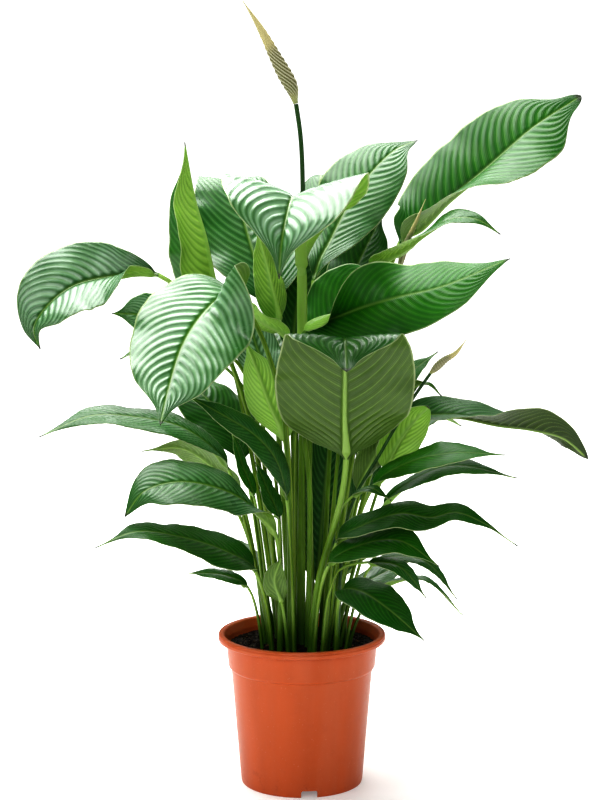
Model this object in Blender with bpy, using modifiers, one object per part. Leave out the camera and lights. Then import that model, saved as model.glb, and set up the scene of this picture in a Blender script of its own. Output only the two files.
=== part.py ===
"""A peace lily in a plastic nursery pot: pot, soil, leaves on their own stalks, and three closed flowers.

Metres, +Z up. The origin is on the floor under the pot's centre, and -Y is the side that faces the viewer.
Sizes below are in millimetres and are turned into metres by MM where a mesh is made.
"""

from math import cos, exp, pi, radians, sin

import bmesh
import bpy
from mathutils import Matrix, Vector

MM = 0.001
OBJECT_NAME = "potted_peace_lily"

# Pot, mm
POT_STEPS = 40
RIM_RADIUS = 85.0
RIM_INNER_RADIUS = 79.0
POT_HEIGHT = 155.0
LIP_HEIGHT = 7.4
COLLAR_TOP_RADIUS = 77.0
COLLAR_FOOT_RADIUS = 74.6
LEDGE_Z = 120.0
WALL_TOP_RADIUS = 71.8
FOOT_RADIUS = 62.0
WALL = 1.6
EDGE_ROUND = 1.8
LIP_UNDERCUT = 0.9
CREST_SLOPE = 0.7
FOOT_CHAMFER = 0.7
FOOT_RING_WIDTH = 2.0
BASE_UNDER_Z = 8.0
BASE_THICKNESS = 2.5
NOTCHES = 3
NOTCH_WIDTH = 16.5
NOTCH_HEIGHT = 7.3
NOTCH_DEPTH = 16.0
FRONT_NOTCH_TURN = 7.0
DRAIN_HOLES = 6
DRAIN_RADIUS = 4.0
DRAIN_RING_RADIUS = 40.0
DRAIN_SIDES = 12

# Soil, mm
SOIL_Z = 143.0
SOIL_CROWN = 2.0
SOIL_CROWN_RADIUS = 30.0
SOIL_LEVEL_RADIUS = 58.0
SEAT_GAP = 0.35
HOLE_DEPTH = 14.0
HOLE_SIDES = 8
HOLE_GAP = 0.45

# Leaves, mm and degrees
BLADE_THICKNESS = 0.95
KEEL = 1.6
STALK_TOP_BASE = 1.0
STALK_TOP_PER_WIDTH = 0.012
STALK_SPREAD = 1.9
STALK_TAPER = 1.6
BASE_CHANNEL = 38.0
CHANNEL_LENGTH = 0.3
MOST_LIFT = 84.0
MARGIN_BEND = -18.0
OPENING_START = 0.3
NEVER_FLAT = 0.01
BASE_TURN_REACH = 0.35
DRIP_START = 0.76
DRIP_END = 0.94
WAVE = 0.035
WAVES = 1.5
WAVE_OFFSET = 2.1
TIP_HALF_WIDTH = 0.8
ACROSS = (-1.0, -0.5, 0.0, 0.5, 1.0)
RING_SIDES = 2 * len(ACROSS)
SPLIT_DOWN = (0, 1, 4, 5, 6)
LARGE_BLADE = (0.0, 0.06, 0.17, 0.31, 0.46, 0.61, 0.77, 0.91, 1.0)
SMALL_BLADE = (0.0, 0.07, 0.2, 0.38, 0.58, 0.78, 0.92, 1.0)
SMALL_WIDTH = 63.0
STALK_STEP = 100.0
FLOWER_STALK_STEP = 45.0
STALK_RISE = 1.0
ROOT_GAP = 2.1
ROOT_ROUNDS = 300


def leaf(name, root, blade, width, roll=0, twist=0, fold=8, belly=0.41, power=1.95, face=None, stem=(),
         cup=(0, 0), curl=(0, 0), opens=0.6, base_turn=0, drip=0.45):
    """One leaf: root (x, y) on the soil, then the points that its midrib passes, from blade base to tip.

    roll lowers the right-hand margin as seen looking along the leaf, twist adds to it towards the tip,
    fold lifts both halves, belly is where along it the blade is widest, a higher power draws out both ends,
    and face is the compass heading of a leaf that stands too straight to have one. stem holds points that
    the stalk passes on its way up. cup lifts the left and the right half further and curl rolls their margins
    up, both from the base to where the blade opens. base_turn is more roll at the base alone, and drip is how
    much of its width the blade loses where its tip draws out.
    """
    return dict(name="leaf_" + name, root=root, blade=blade, width=width, roll=roll, twist=twist,
                fold=fold, belly=belly, power=power, face=face, stem=stem, cup=cup, curl=curl, opens=opens,
                base_turn=base_turn, drip=drip)


LEAVES = (
    # Crown, left
    leaf("far_left", (-18, 6), [(-144, 26, 516), (-186, 22, 516), (-228, 12, 507), (-254, 0, 487),
                                (-266, -8, 466), (-260, -12, 446)], 90, roll=-46, fold=24, belly=0.5,
         power=2.3, stem=[(-58, 16, 390), (-90, 20, 462)], cup=(56, 10), opens=0.4, drip=0.5),
    leaf("front_left", (-12, -26), [(-60, -52, 498), (-73, -66, 505), (-94, -96, 491), (-112, -130, 465),
                                    (-124, -172, 426), (-129, -201, 400)], 112, roll=-20, fold=6,
         belly=0.36, power=1.4, stem=[(-13, -44, 332), (-20, -52, 401), (-31, -56, 441), (-43, -56, 472)],
         cup=(84, -8), opens=0.35, drip=0.55),
    leaf("upright_left", (-24, 14), [(-78, 64, 445), (-84, 55, 481), (-91, 47, 518), (-98, 44, 554),
                                     (-108, 45, 590), (-118, 48, 648)], 89, fold=64, face=13, belly=0.38,
         power=1.9, stem=[(-46, 34, 300), (-66, 56, 400)], drip=0.35),
    leaf("broad_back_left", (-10, 24), [(-37, 59, 482), (-56, 97, 552), (-76, 149, 604), (-93, 200, 584)], 118,
         roll=2, fold=12, belly=0.37, power=1.7, cup=(0, 14)),
    # Crown, middle
    leaf("crown_front", (-3, -8), [(0, -22, 522), (-2, -60, 566), (-6, -105, 599), (-9, -130, 603),
                                   (-14, -158, 588), (-19, -178, 562), (-21, -188, 532)], 144, roll=-3,
         fold=26, belly=0.52, power=2.1, cup=(26, 40), opens=0.5, drip=0.7),
    leaf("crown_back", (-2, 22), [(-10, 56, 430), (-2, 84, 500), (10, 118, 560), (20, 160, 610), (16, 203, 594)],
         64, fold=-4, stem=[(-8, 30, 300)]),
    leaf("crown_right", (14, 20), [(12, 30, 510), (30, 54, 552), (58, 80, 600), (94, 104, 637), (120, 122, 648)],
         82, roll=28, fold=6, belly=0.54, power=2.1, drip=0.45),
    leaf("shade_right", (18, 20), [(40, 52, 478), (49, 64, 504), (64, 82, 536), (76, 94, 558), (83, 100, 572)],
         62, roll=22, fold=8, power=1.7),
    # Crown, right
    leaf("tall_right", (26, 12), [(98, 24, 548), (119, 30, 564), (144, 37, 589), (168, 43, 608), (190, 50, 626),
                                  (212, 57, 645), (234, 64, 663), (284, 80, 694)], 106, roll=12, twist=40,
         fold=8, belly=0.48, power=1.05, cup=(26, 38), opens=0.78, drip=0.55),
    leaf("right_hook", (22, 2), [(66, 8, 524), (83, -3, 534), (104, -13, 548), (125, -20, 564), (146, -26, 576),
                                 (170, -32, 576), (193, -40, 562)], 40, roll=-34, twist=84, fold=14),
    leaf("bright_right", (6, -20), [(1, -46, 464), (40, -62, 486), (86, -78, 503), (135, -94, 517),
                                    (196, -108, 544)], 80, roll=50, fold=-2, belly=0.47, power=2.0,
         stem=[(8, -34, 300)], cup=(80, 0), curl=(92, 0), opens=0.55, base_turn=36, drip=0.3),
    leaf("inner_green", (8, -2), [(16, -8, 452), (32, -6, 484), (56, -2, 510), (84, 2, 522)], 70,
         roll=60, fold=8),
    leaf("big_centre", (10, -36), [(43, -68, 345), (41, -84, 390), (41, -98, 432), (40, -124, 470),
                                   (41, -176, 446)], 135, fold=10, belly=0.42, power=1.1, face=270,
         stem=[(17, -50, 220), (38, -62, 302)], drip=0.6),
    leaf("lime_left", (-6, -12), [(-13, -26, 458), (-36, -20, 474), (-61, -12, 490), (-86, 0, 502)], 50,
         roll=34, fold=8, stem=[(-8, -14, 300)]),
    leaf("streaked_left", (-14, 0), [(-29, 8, 402), (-46, 30, 444), (-61, 58, 492)], 46, roll=-30, fold=6),
    leaf("lime_inner", (-18, -20), [(-17, -30, 355), (-33, -36, 398), (-46, -36, 434), (-56, -34, 458)], 46,
         roll=10, fold=16, face=250),
    leaf("pale_inner", (-4, 4), [(-22, 7, 470), (-29, 11, 500), (-36, 18, 530), (-45, 25, 561)], 36,
         face=300, fold=24, belly=0.36, power=1.5, stem=[(-5, 4, 300), (-9, 3, 430)]),
    # Middle, left
    leaf("behind_front_left", (-22, -6), [(-96, -2, 456), (-136, -6, 474), (-162, -26, 482),
                                          (-185, -44, 485)], 58, roll=-62,
         stem=[(-40, 4, 340), (-60, 4, 424)]),
    leaf("dark_point_left", (-20, 38), [(-88, 72, 424), (-138, 80, 448), (-188, 76, 425)], 42, roll=-20,
         stem=[(-30, 60, 320), (-56, 78, 388)]),
    leaf("long_left", (-32, -10), [(-73, -15, 325), (-90, -24, 350), (-120, -34, 372), (-162, -45, 383),
                                   (-206, -57, 386), (-255, -72, 368)], 48, roll=-24, fold=6, drip=0.5),
    leaf("under_left", (-36, 0), [(-64, 10, 296), (-92, 16, 326), (-122, 10, 344), (-161, -2, 342)], 46,
         roll=34, fold=4),
    leaf("broad_left", (-22, -32), [(-25, -46, 262), (-36, -50, 282), (-56, -58, 302), (-84, -72, 318),
                                    (-120, -86, 326), (-152, -94, 318), (-171, -100, 294)], 68, roll=-34,
         fold=8, base_turn=84, belly=0.56, power=2.1, drip=0.4),
    leaf("low_left", (-30, -28), [(-46, -52, 230), (-75, -72, 255), (-117, -92, 273), (-159, -106, 281),
                                  (-198, -118, 268)], 64, roll=-24, fold=6, belly=0.32, power=2.3, drip=0.6),
    leaf("pale_back_left", (-34, 26), [(-60, 50, 322), (-86, 76, 370), (-120, 104, 392), (-158, 132, 374)],
         74, roll=-18, fold=4),
    leaf("dark_diagonal", (-8, -34), [(-15, -54, 302), (-25, -68, 344), (-45, -84, 371), (-72, -98, 391),
                                      (-112, -106, 415)], 42, roll=-50, fold=6),
    leaf("slim_left", (-32, -2), [(-48, -8, 296), (-60, -7, 330), (-70, -4, 362)], 22, roll=-20),
    leaf("inner_left", (-22, -14), [(-23, -20, 276), (-34, -22, 306), (-46, -22, 334)], 34, roll=-30),
    leaf("small_low_left", (-40, -20), [(-54, -32, 209), (-76, -40, 223), (-113, -46, 227)], 22, roll=-24),
    leaf("small_teal", (-14, -44), [(-20, -52, 198), (-27, -56, 222), (-20, -56, 245)], 24, face=270, fold=4),
    # Middle, right
    leaf("small_point_right", (30, 6), [(79, 22, 372), (104, 26, 411), (137, 26, 439)], 36, roll=24),
    leaf("long_right", (30, 0), [(92, 0, 370), (116, -4, 377), (153, -12, 380), (195, -28, 373),
                                 (228, -44, 370), (256, -58, 364), (279, -66, 345)], 72, roll=50, twist=-118,
         fold=24, belly=0.52, power=1.5, drip=0.4),
    leaf("olive_right", (26, -12), [(55, -26, 304), (79, -30, 357), (106, -30, 408), (124, -30, 414),
                                    (138, -32, 402)], 40, face=300, fold=18),
    leaf("lime_right", (32, -18), [(82, -34, 328), (94, -38, 354), (108, -42, 376), (124, -46, 394)], 46,
         roll=-14, fold=6, belly=0.5, face=300, power=1.4, drip=0.0),
    leaf("mid_right", (28, -22), [(69, -48, 312), (100, -66, 340), (143, -80, 353), (196, -88, 353)], 50,
         roll=20, fold=8),
    leaf("mid_right_under", (38, -12), [(80, -24, 288), (110, -34, 318), (150, -42, 334), (212, -54, 324)],
         42, roll=14, fold=6),
    leaf("small_dark_right", (26, -28), [(50, -59, 307), (66, -70, 317), (87, -76, 306)], 18, roll=10,
         stem=[(34, -46, 240), (36, -45, 284)]),
    leaf("low_right", (24, -34), [(34, -58, 260), (62, -79, 283), (96, -91, 296), (124, -96, 293),
                                  (148, -102, 299), (174, -108, 290), (207, -116, 269)], 50, roll=22, fold=8,
         belly=0.32, power=2.3, stem=[(28, -44, 215)], drip=0.6),
    leaf("lower_right", (12, -46), [(26, -64, 238), (58, -86, 264), (94, -100, 271), (132, -110, 248)], 52,
         roll=24, fold=8),
    leaf("arched_small_right", (20, -52), [(64, -80, 245), (94, -88, 243), (121, -94, 213)], 24, roll=20,
         stem=[(24, -58, 195), (28, -62, 214), (38, -72, 237)]),
    leaf("drooping_right", (34, -42), [(39, -62, 211), (58, -92, 219), (80, -108, 208), (118, -120, 177)], 52,
         roll=18, fold=8),
    leaf("narrow_right", (44, -28), [(72, -34, 234), (121, -42, 238), (154, -52, 202)], 24, roll=10),
    leaf("narrow_low_right", (48, -14), [(74, -10, 200), (122, -12, 214), (163, -20, 177)], 24, roll=-4),
    leaf("back_low_right", (44, 2), [(50, 14, 190), (82, 32, 208), (113, 46, 219)], 36, roll=16),
    # Behind the stalks
    leaf("shade_centre", (14, 38), [(16, 40, 196), (20, 48, 250), (26, 58, 320), (32, 68, 384)], 52, face=80,
         fold=8, power=1.4, drip=0.2),
    leaf("shade_centre_right", (34, 24), [(54, 34, 280), (66, 44, 312), (78, 54, 346)], 38, roll=10),
    # Back
    leaf("back_high_right", (22, 40), [(52, 86, 430), (84, 132, 478), (116, 178, 488), (142, 203, 462)], 80,
         fold=8, stem=[(34, 72, 290)]),
    leaf("back_high_left", (-8, 34), [(-24, 70, 400), (-46, 120, 444), (-70, 172, 446), (-88, 202, 416)], 80,
         fold=8),
    leaf("back_right", (36, 30), [(60, 60, 316), (100, 96, 350), (142, 132, 358), (172, 158, 342)], 58,
         fold=8),
    leaf("back_left", (-34, 30), [(-66, 66, 264), (-102, 104, 286), (-142, 140, 286), (-170, 166, 264)], 56,
         fold=8),
    leaf("back_low", (6, 46), [(12, 66, 236), (20, 118, 268), (30, 170, 266), (36, 201, 240)], 60, fold=8),
    leaf("back_low_left", (-30, 44), [(-42, 60, 196), (-66, 90, 222), (-94, 120, 228), (-114, 140, 218)], 40,
         fold=6),
    leaf("back_low_far_right", (34, 46), [(44, 58, 200), (78, 92, 228), (112, 124, 224), (140, 148, 194)],
         46, fold=6),
)

# Flowers, mm: root, the stalk's points, the closed white leaf from base to tip, and its widest radius
FLOWERS = (
    dict(name="tall_flower", root=(-2, 2), stalk=[(0, 8, 420), (1, 8, 560), (0, 9, 633), (-2, 10, 660)],
         bud=[(-6, 10, 687), (-10, 10, 702), (-19, 10, 719), (-28, 10, 736), (-40, 10, 759), (-58, 10, 787)],
         radius=9.6, stalk_radius=2.3),
    dict(name="side_flower", root=(36, -36), stalk=[(46, -46, 286), (79, -57, 353), (106, -58, 400)],
         bud=[(125, -58, 428), (138, -60, 441), (149, -61, 448), (159, -62, 461)],
         radius=5.0, stalk_radius=1.6),
    dict(name="back_flower", root=(24, 34), stalk=[(46, 64, 330), (84, 45, 470)],
         bud=[(97, 18, 522), (103, 8, 547), (112, 0, 569), (122, -4, 594)], radius=4.4, stalk_radius=1.6),
)
BUD_STATIONS = (0.0, 0.08, 0.2, 0.35, 0.52, 0.7, 0.86, 1.0)
BUD_TIP_RADIUS = 0.7
BUD_COLLAR = 1.1
BUD_SWELL_LENGTH = 0.14
BUD_SWELL_POWER = 1.5
BUD_TAPER_POWER = 1.35
STALK_TO_BUD_GAP = 0.35
FLOWER_ROOT_ROOM = 1.2


def clear_scene():
    for old in list(bpy.data.objects):
        bpy.data.objects.remove(old, do_unlink=True)


def collection(name):
    found = bpy.data.collections.new(name)
    bpy.context.scene.collection.children.link(found)
    return found


def material(name, colour, roughness):
    made = bpy.data.materials.new(name)
    made.use_nodes = True
    shader = made.node_tree.nodes["Principled BSDF"]
    shader.inputs["Base Color"].default_value = (*colour, 1.0)
    shader.inputs["Roughness"].default_value = roughness
    shader.inputs["Metallic"].default_value = 0.0
    return made


def mesh_object(name, points, faces, paint, holder):
    """An object from points in mm and faces that already turn outwards."""
    mesh = bpy.data.meshes.new(name)
    mesh.from_pydata([tuple(c * MM for c in point) for point in points], [], faces)
    mesh.update()
    mesh.materials.append(paint)
    made = bpy.data.objects.new(name, mesh)
    holder.objects.link(made)
    return made


def smooth_path(points, per_span=20):
    """A centripetal curve through the points, as closely spaced positions, and the index of each point."""
    first = points[0] * 2 - points[1]
    last = points[-1] * 2 - points[-2]
    guides = [first, *points, last]
    path = [points[0].copy()]
    marks = [0]
    for a, b, c, d in zip(guides, guides[1:], guides[2:], guides[3:]):
        t1 = (b - a).length ** 0.5
        t2 = t1 + (c - b).length ** 0.5
        t3 = t2 + (d - c).length ** 0.5
        for step in range(1, per_span + 1):
            t = t1 + (t2 - t1) * step / per_span
            ab = a.lerp(b, t / t1)
            bc = b.lerp(c, (t - t1) / (t2 - t1))
            cd = c.lerp(d, (t - t2) / (t3 - t2))
            abc = ab.lerp(bc, t / t2)
            bcd = bc.lerp(cd, (t - t1) / (t3 - t1))
            path.append(abc.lerp(bcd, (t - t1) / (t2 - t1)))
        marks.append(len(path) - 1)
    return path, marks


def stations(path, fractions):
    """Position and direction at each fraction of the path's length."""
    lengths = [0.0]
    for a, b in zip(path, path[1:]):
        lengths.append(lengths[-1] + (b - a).length)
    found = []
    span = 0
    for fraction in fractions:
        wanted = fraction * lengths[-1]
        while span < len(path) - 2 and lengths[span + 1] < wanted:
            span += 1
        share = (wanted - lengths[span]) / (lengths[span + 1] - lengths[span])
        found.append((path[span].lerp(path[span + 1], share), (path[span + 1] - path[span]).normalized()))
    return found


def path_length(path):
    return sum((b - a).length for a, b in zip(path, path[1:]))


def stalk_radii(width):
    top = STALK_TOP_BASE + STALK_TOP_PER_WIDTH * width
    return top * STALK_SPREAD, top


def settle_roots(leaves, flowers):
    """Moves the roots apart until each has room for its own stalk, the way shoots crowd in a pot."""
    spots = [Vector(one["root"]) for one in (*leaves, *flowers)]
    radii = [stalk_radii(one["width"])[0] for one in leaves]
    radii += [one["stalk_radius"] * FLOWER_ROOT_ROOM for one in flowers]
    for _ in range(ROOT_ROUNDS):
        for i, first in enumerate(spots):
            for j in range(i + 1, len(spots)):
                apart = spots[j] - first
                short = radii[i] + radii[j] + ROOT_GAP - apart.length
                if short > 0:
                    push = apart.normalized() * short * 0.5
                    first -= push
                    spots[j] += push
    return spots[:len(leaves)], spots[len(leaves):], radii


def smoothstep(value, low, high):
    """0 below low, 1 above high, and a soft rise between them."""
    share = min(1.0, max(0.0, (value - low) / (high - low)))
    return share * share * (3 - 2 * share)


def blade_half_width(one, u):
    """Half the blade's width: the margins meet in a point at both ends and are widest at the belly."""
    swell = one["power"] * one["belly"]
    taper = one["power"] - swell
    full = one["belly"] ** swell * (1 - one["belly"]) ** taper
    drawn_in = 1 - one["drip"] * smoothstep(u, DRIP_START, DRIP_END)
    return 0.5 * one["width"] * u ** swell * (1 - u) ** taper / full * drawn_in


def half_bend(one, u, side):
    """Where half a blade starts from at the midrib and how far it bends to its margin, in radians."""
    closed = 1 - smoothstep(u, OPENING_START * one["opens"], one["opens"])
    channel = BASE_CHANNEL * max(0.0, 1 - u / CHANNEL_LENGTH) ** 2
    lift = min(one["fold"] + channel + one["cup"][side] * closed, MOST_LIFT)
    return radians(lift), radians(MARGIN_BEND + NEVER_FLAT + one["curl"][side] * closed)


def blade_section(one, u, across):
    """A place on the upper face in the blade's section plane and the direction out of it: each half is an arc."""
    half = blade_half_width(one, u)
    hand = -1.0 if across < 0 else 1.0
    lift, bend = half_bend(one, u, 0 if across < 0 else 1)
    facing = lift + bend * abs(across)
    out = (-hand * sin(facing), cos(facing))
    turn = 2 * pi * WAVES * u + (0.0 if across > 0 else WAVE_OFFSET)
    wave = WAVE * one["width"] * sin(pi * u) * across ** 2 * sin(turn)
    sideways = hand * half * (sin(facing) - sin(lift)) / bend + out[0] * wave
    upwards = half * (cos(lift) - cos(facing)) / bend + out[1] * wave
    return (sideways, upwards), (out if across else (0.0, 1.0))


def leaf_frame(one, direction, u):
    """The blade's side and upward directions across its midrib."""
    blade = one["blade"]
    if one["face"] is None:
        along = Vector((blade[-1][0] - blade[0][0], blade[-1][1] - blade[0][1], 0)).normalized()
    else:
        along = Vector((cos(radians(one["face"])), sin(radians(one["face"])), 0))
    level = Vector((along.y, -along.x, 0))
    side = (level - direction * level.dot(direction)).normalized()
    normal = side.cross(direction)
    turn = radians(one["roll"] + one["twist"] * u + one["base_turn"] * (1 - smoothstep(u, 0.0, BASE_TURN_REACH)))
    return side * cos(turn) - normal * sin(turn), normal * cos(turn) + side * sin(turn)


def leaf_rings(one, root):
    """Rings of ten points from the buried end of the stalk to the blade's tip: five above, five below."""
    bottom = Vector((root.x, root.y, SOIL_Z - HOLE_DEPTH + SEAT_GAP))
    top = Vector((root.x, root.y, SOIL_Z + SOIL_CROWN + STALK_RISE))
    points = [bottom, top, *(Vector(p) for p in one["stem"]), *(Vector(p) for p in one["blade"])]
    path, marks = smooth_path(points)
    knee = marks[2 + len(one["stem"])]
    stalk = path[marks[1]:knee + 1]
    blade = path[knee:]
    thick, thin = stalk_radii(one["width"])
    count = max(2, round(path_length(stalk) / STALK_STEP))
    fractions = [step / count for step in range(count)]
    rings = [round_ring(one, bottom, Vector((0, 0, 1)), thick)]
    for fraction, (place, direction) in zip(fractions, stations(stalk, fractions)):
        if fraction == 0:
            direction = Vector((0, 0, 1))
        radius = thin + (thick - thin) * (1 - fraction) ** STALK_TAPER
        rings.append(round_ring(one, place, direction, radius))
    cuts = LARGE_BLADE if one["width"] >= SMALL_WIDTH else SMALL_BLADE
    for u, (place, direction) in zip(cuts, stations(blade, cuts)):
        if u == 0:
            rings.append(round_ring(one, place, direction, thin))
        else:
            rings.append(blade_ring(one, u, place, direction, thin))
    return rings


def circle_of_points(place, side, normal, radius):
    """A round ring that starts half a step above the left-hand margin and runs over the top."""
    angles = [pi - 2 * pi * (step + 0.5) / RING_SIDES for step in range(RING_SIDES)]
    return [place + side * (radius * cos(angle)) + normal * (radius * sin(angle)) for angle in angles]


def round_ring(one, place, direction, radius):
    side, normal = leaf_frame(one, direction, 0.0)
    return circle_of_points(place, side, normal, radius)


def blade_ring(one, u, place, direction, thin):
    """A ring round the blade, whose keel under the midrib thins out towards the tip."""
    side, normal = leaf_frame(one, direction, u)
    keel = BLADE_THICKNESS + (KEEL + thin - BLADE_THICKNESS) * (1 - u)
    upper = []
    lower = []
    for across in ACROSS:
        (x, y), (out_x, out_y) = blade_section(one, u, across)
        if u == 1:
            x, y, out_x, out_y = across * TIP_HALF_WIDTH, 0.0, 0.0, 1.0
        depth = BLADE_THICKNESS if across else keel
        upper.append(place + side * x + normal * y)
        lower.append(upper[-1] - (side * out_x + normal * out_y) * depth)
    return upper + lower[::-1]


def loft(rings):
    """Points and triangles of a skin over rings of ten, with each blade quad split alike above and below."""
    size = len(rings[0])
    points = [point for ring in rings for point in ring]
    faces = []
    for first in range(0, len(points) - size, size):
        for j in range(size):
            a = first + j
            b = first + (j + 1) % size
            c = b + size
            d = a + size
            if j in SPLIT_DOWN:
                faces += [(a, c, d), (a, b, c)]
            else:
                faces += [(a, b, d), (b, c, d)]
    faces.append(tuple(range(size - 1, -1, -1)))
    faces.append(tuple(range(len(points) - size, len(points))))
    return points, faces


def make_leaf(one, root, paint, holder):
    points, faces = loft(leaf_rings(one, root))
    made = mesh_object(one["name"], points, faces, paint, holder)
    made.data.shade_smooth()
    made.data.set_sharp_from_angle(angle=radians(50))
    return made


def turned(name, profile, paint, holder):
    """A turned solid: the profile (radius, height in mm) ends on the axis above and below."""
    mesh = bpy.data.meshes.new(name)
    rows = [(radius * MM, 0, height * MM) for radius, height in profile]
    mesh.from_pydata(rows, [(i, i + 1) for i in range(len(rows) - 1)], [])
    mesh.materials.append(paint)
    made = bpy.data.objects.new(name, mesh)
    holder.objects.link(made)
    screw = made.modifiers.new("Turn", "SCREW")
    screw.axis = "Z"
    screw.angle = 2 * pi
    screw.steps = POT_STEPS
    screw.render_steps = POT_STEPS
    screw.use_merge_vertices = True
    screw.merge_threshold = 0.00001
    screw.use_smooth_shade = False
    return made


def cutter(name, make, holder):
    """A cutting tool built by a function on a bmesh, kept out of the render."""
    shape = bmesh.new()
    make(shape)
    for vertex in shape.verts:
        vertex.co *= MM
    bmesh.ops.recalc_face_normals(shape, faces=shape.faces)
    mesh = bpy.data.meshes.new(name)
    shape.to_mesh(mesh)
    shape.free()
    made = bpy.data.objects.new(name, mesh)
    made.display_type = "WIRE"
    made.hide_render = True
    holder.objects.link(made)
    return made


def cut(target, tool):
    difference = target.modifiers.new(tool.name, "BOOLEAN")
    difference.operation = "DIFFERENCE"
    difference.solver = "EXACT"
    difference.object = tool


def drill(shape, x, y, low, high, radius, sides):
    made = bmesh.ops.create_cone(shape, cap_ends=True, segments=sides, radius1=radius, radius2=radius,
                                 depth=high - low)
    bmesh.ops.translate(shape, verts=made["verts"], vec=(x, y, (low + high) / 2))


def pot_profile():
    """From the middle of the floor inside, up the wall, over the rim, and down the outside to the foot."""
    base_top = BASE_UNDER_Z + BASE_THICKNESS
    slope = (WALL_TOP_RADIUS - FOOT_RADIUS) / (LEDGE_Z - 1)
    lip_z = POT_HEIGHT - LIP_HEIGHT
    return [
        (0, base_top),
        (FOOT_RADIUS - WALL + slope * base_top, base_top),
        (WALL_TOP_RADIUS - WALL, LEDGE_Z - 1),
        (COLLAR_FOOT_RADIUS - WALL, LEDGE_Z + 2),
        (COLLAR_TOP_RADIUS - WALL, lip_z - 1),
        (RIM_INNER_RADIUS - CREST_SLOPE, POT_HEIGHT - EDGE_ROUND),
        (RIM_INNER_RADIUS + CREST_SLOPE, POT_HEIGHT),
        (RIM_RADIUS - EDGE_ROUND, POT_HEIGHT),
        (RIM_RADIUS, POT_HEIGHT - EDGE_ROUND),
        (RIM_RADIUS, lip_z + LIP_UNDERCUT),
        (RIM_RADIUS - LIP_UNDERCUT, lip_z),
        (COLLAR_TOP_RADIUS + 0.3, lip_z),
        (COLLAR_TOP_RADIUS, lip_z - 0.6),
        (COLLAR_FOOT_RADIUS, LEDGE_Z + 1.2),
        (COLLAR_FOOT_RADIUS - 0.8, LEDGE_Z),
        (WALL_TOP_RADIUS, LEDGE_Z - 0.8),
        (FOOT_RADIUS, EDGE_ROUND),
        (FOOT_RADIUS - FOOT_CHAMFER, 0),
        (FOOT_RADIUS - FOOT_CHAMFER - FOOT_RING_WIDTH, 0),
        (FOOT_RADIUS - 1.5 * FOOT_CHAMFER - FOOT_RING_WIDTH, 1.0),
        (FOOT_RADIUS - FOOT_CHAMFER - FOOT_RING_WIDTH, BASE_UNDER_Z),
        (0, BASE_UNDER_Z),
    ]


def soil_profile():
    base_top = BASE_UNDER_Z + BASE_THICKNESS
    slope = (WALL_TOP_RADIUS - FOOT_RADIUS) / (LEDGE_Z - 1)
    collar_slope = (COLLAR_TOP_RADIUS - COLLAR_FOOT_RADIUS) / (POT_HEIGHT - LIP_HEIGHT - 1 - LEDGE_Z - 2)
    edge = COLLAR_FOOT_RADIUS - WALL - SEAT_GAP + collar_slope * (SOIL_Z - LEDGE_Z - 3)
    return [
        (0, SOIL_Z + SOIL_CROWN),
        (SOIL_CROWN_RADIUS, SOIL_Z + SOIL_CROWN * 0.8),
        (SOIL_LEVEL_RADIUS, SOIL_Z),
        (edge - 1, SOIL_Z - 0.6),
        (edge, SOIL_Z - 1.6),
        (COLLAR_FOOT_RADIUS - WALL - SEAT_GAP - 0.1, LEDGE_Z + 2.2),
        (WALL_TOP_RADIUS - WALL - SEAT_GAP, LEDGE_Z - 0.8),
        (FOOT_RADIUS - WALL - SEAT_GAP + slope * base_top, base_top + SEAT_GAP + 0.4),
        (FOOT_RADIUS - WALL - SEAT_GAP - 0.5 + slope * base_top, base_top + SEAT_GAP),
        (0, base_top + SEAT_GAP),
    ]


def make_pot(paint, holder, tools):
    pot = turned("pot", pot_profile(), paint, holder)

    def notches(shape):
        for index in range(NOTCHES):
            angle = radians(-90 + FRONT_NOTCH_TURN + index * 360 / NOTCHES)
            made = bmesh.ops.create_cube(shape, size=1.0)
            bmesh.ops.scale(shape, verts=made["verts"], vec=(NOTCH_DEPTH, NOTCH_WIDTH, NOTCH_HEIGHT * 2))
            bmesh.ops.translate(shape, verts=made["verts"], vec=(FOOT_RADIUS, 0, 0))
            bmesh.ops.rotate(shape, verts=made["verts"], cent=(0, 0, 0),
                             matrix=Matrix.Rotation(angle, 3, "Z"))

    def drains(shape):
        for index in range(DRAIN_HOLES):
            angle = 2 * pi * (index + 0.5) / DRAIN_HOLES
            drill(shape, DRAIN_RING_RADIUS * cos(angle), DRAIN_RING_RADIUS * sin(angle),
                  BASE_UNDER_Z - 2, BASE_UNDER_Z + BASE_THICKNESS + 2, DRAIN_RADIUS, DRAIN_SIDES)

    cut(pot, cutter("foot_notches", notches, tools))
    cut(pot, cutter("drain_holes", drains, tools))


def make_soil(spots, radii, paint, holder, tools):
    soil = turned("soil", soil_profile(), paint, holder)

    def holes(shape):
        for spot, radius in zip(spots, radii):
            drill(shape, spot.x, spot.y, SOIL_Z - HOLE_DEPTH, SOIL_Z + 10,
                  (radius + HOLE_GAP) / cos(pi / HOLE_SIDES), HOLE_SIDES)

    cut(soil, cutter("stem_holes", holes, tools))


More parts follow.
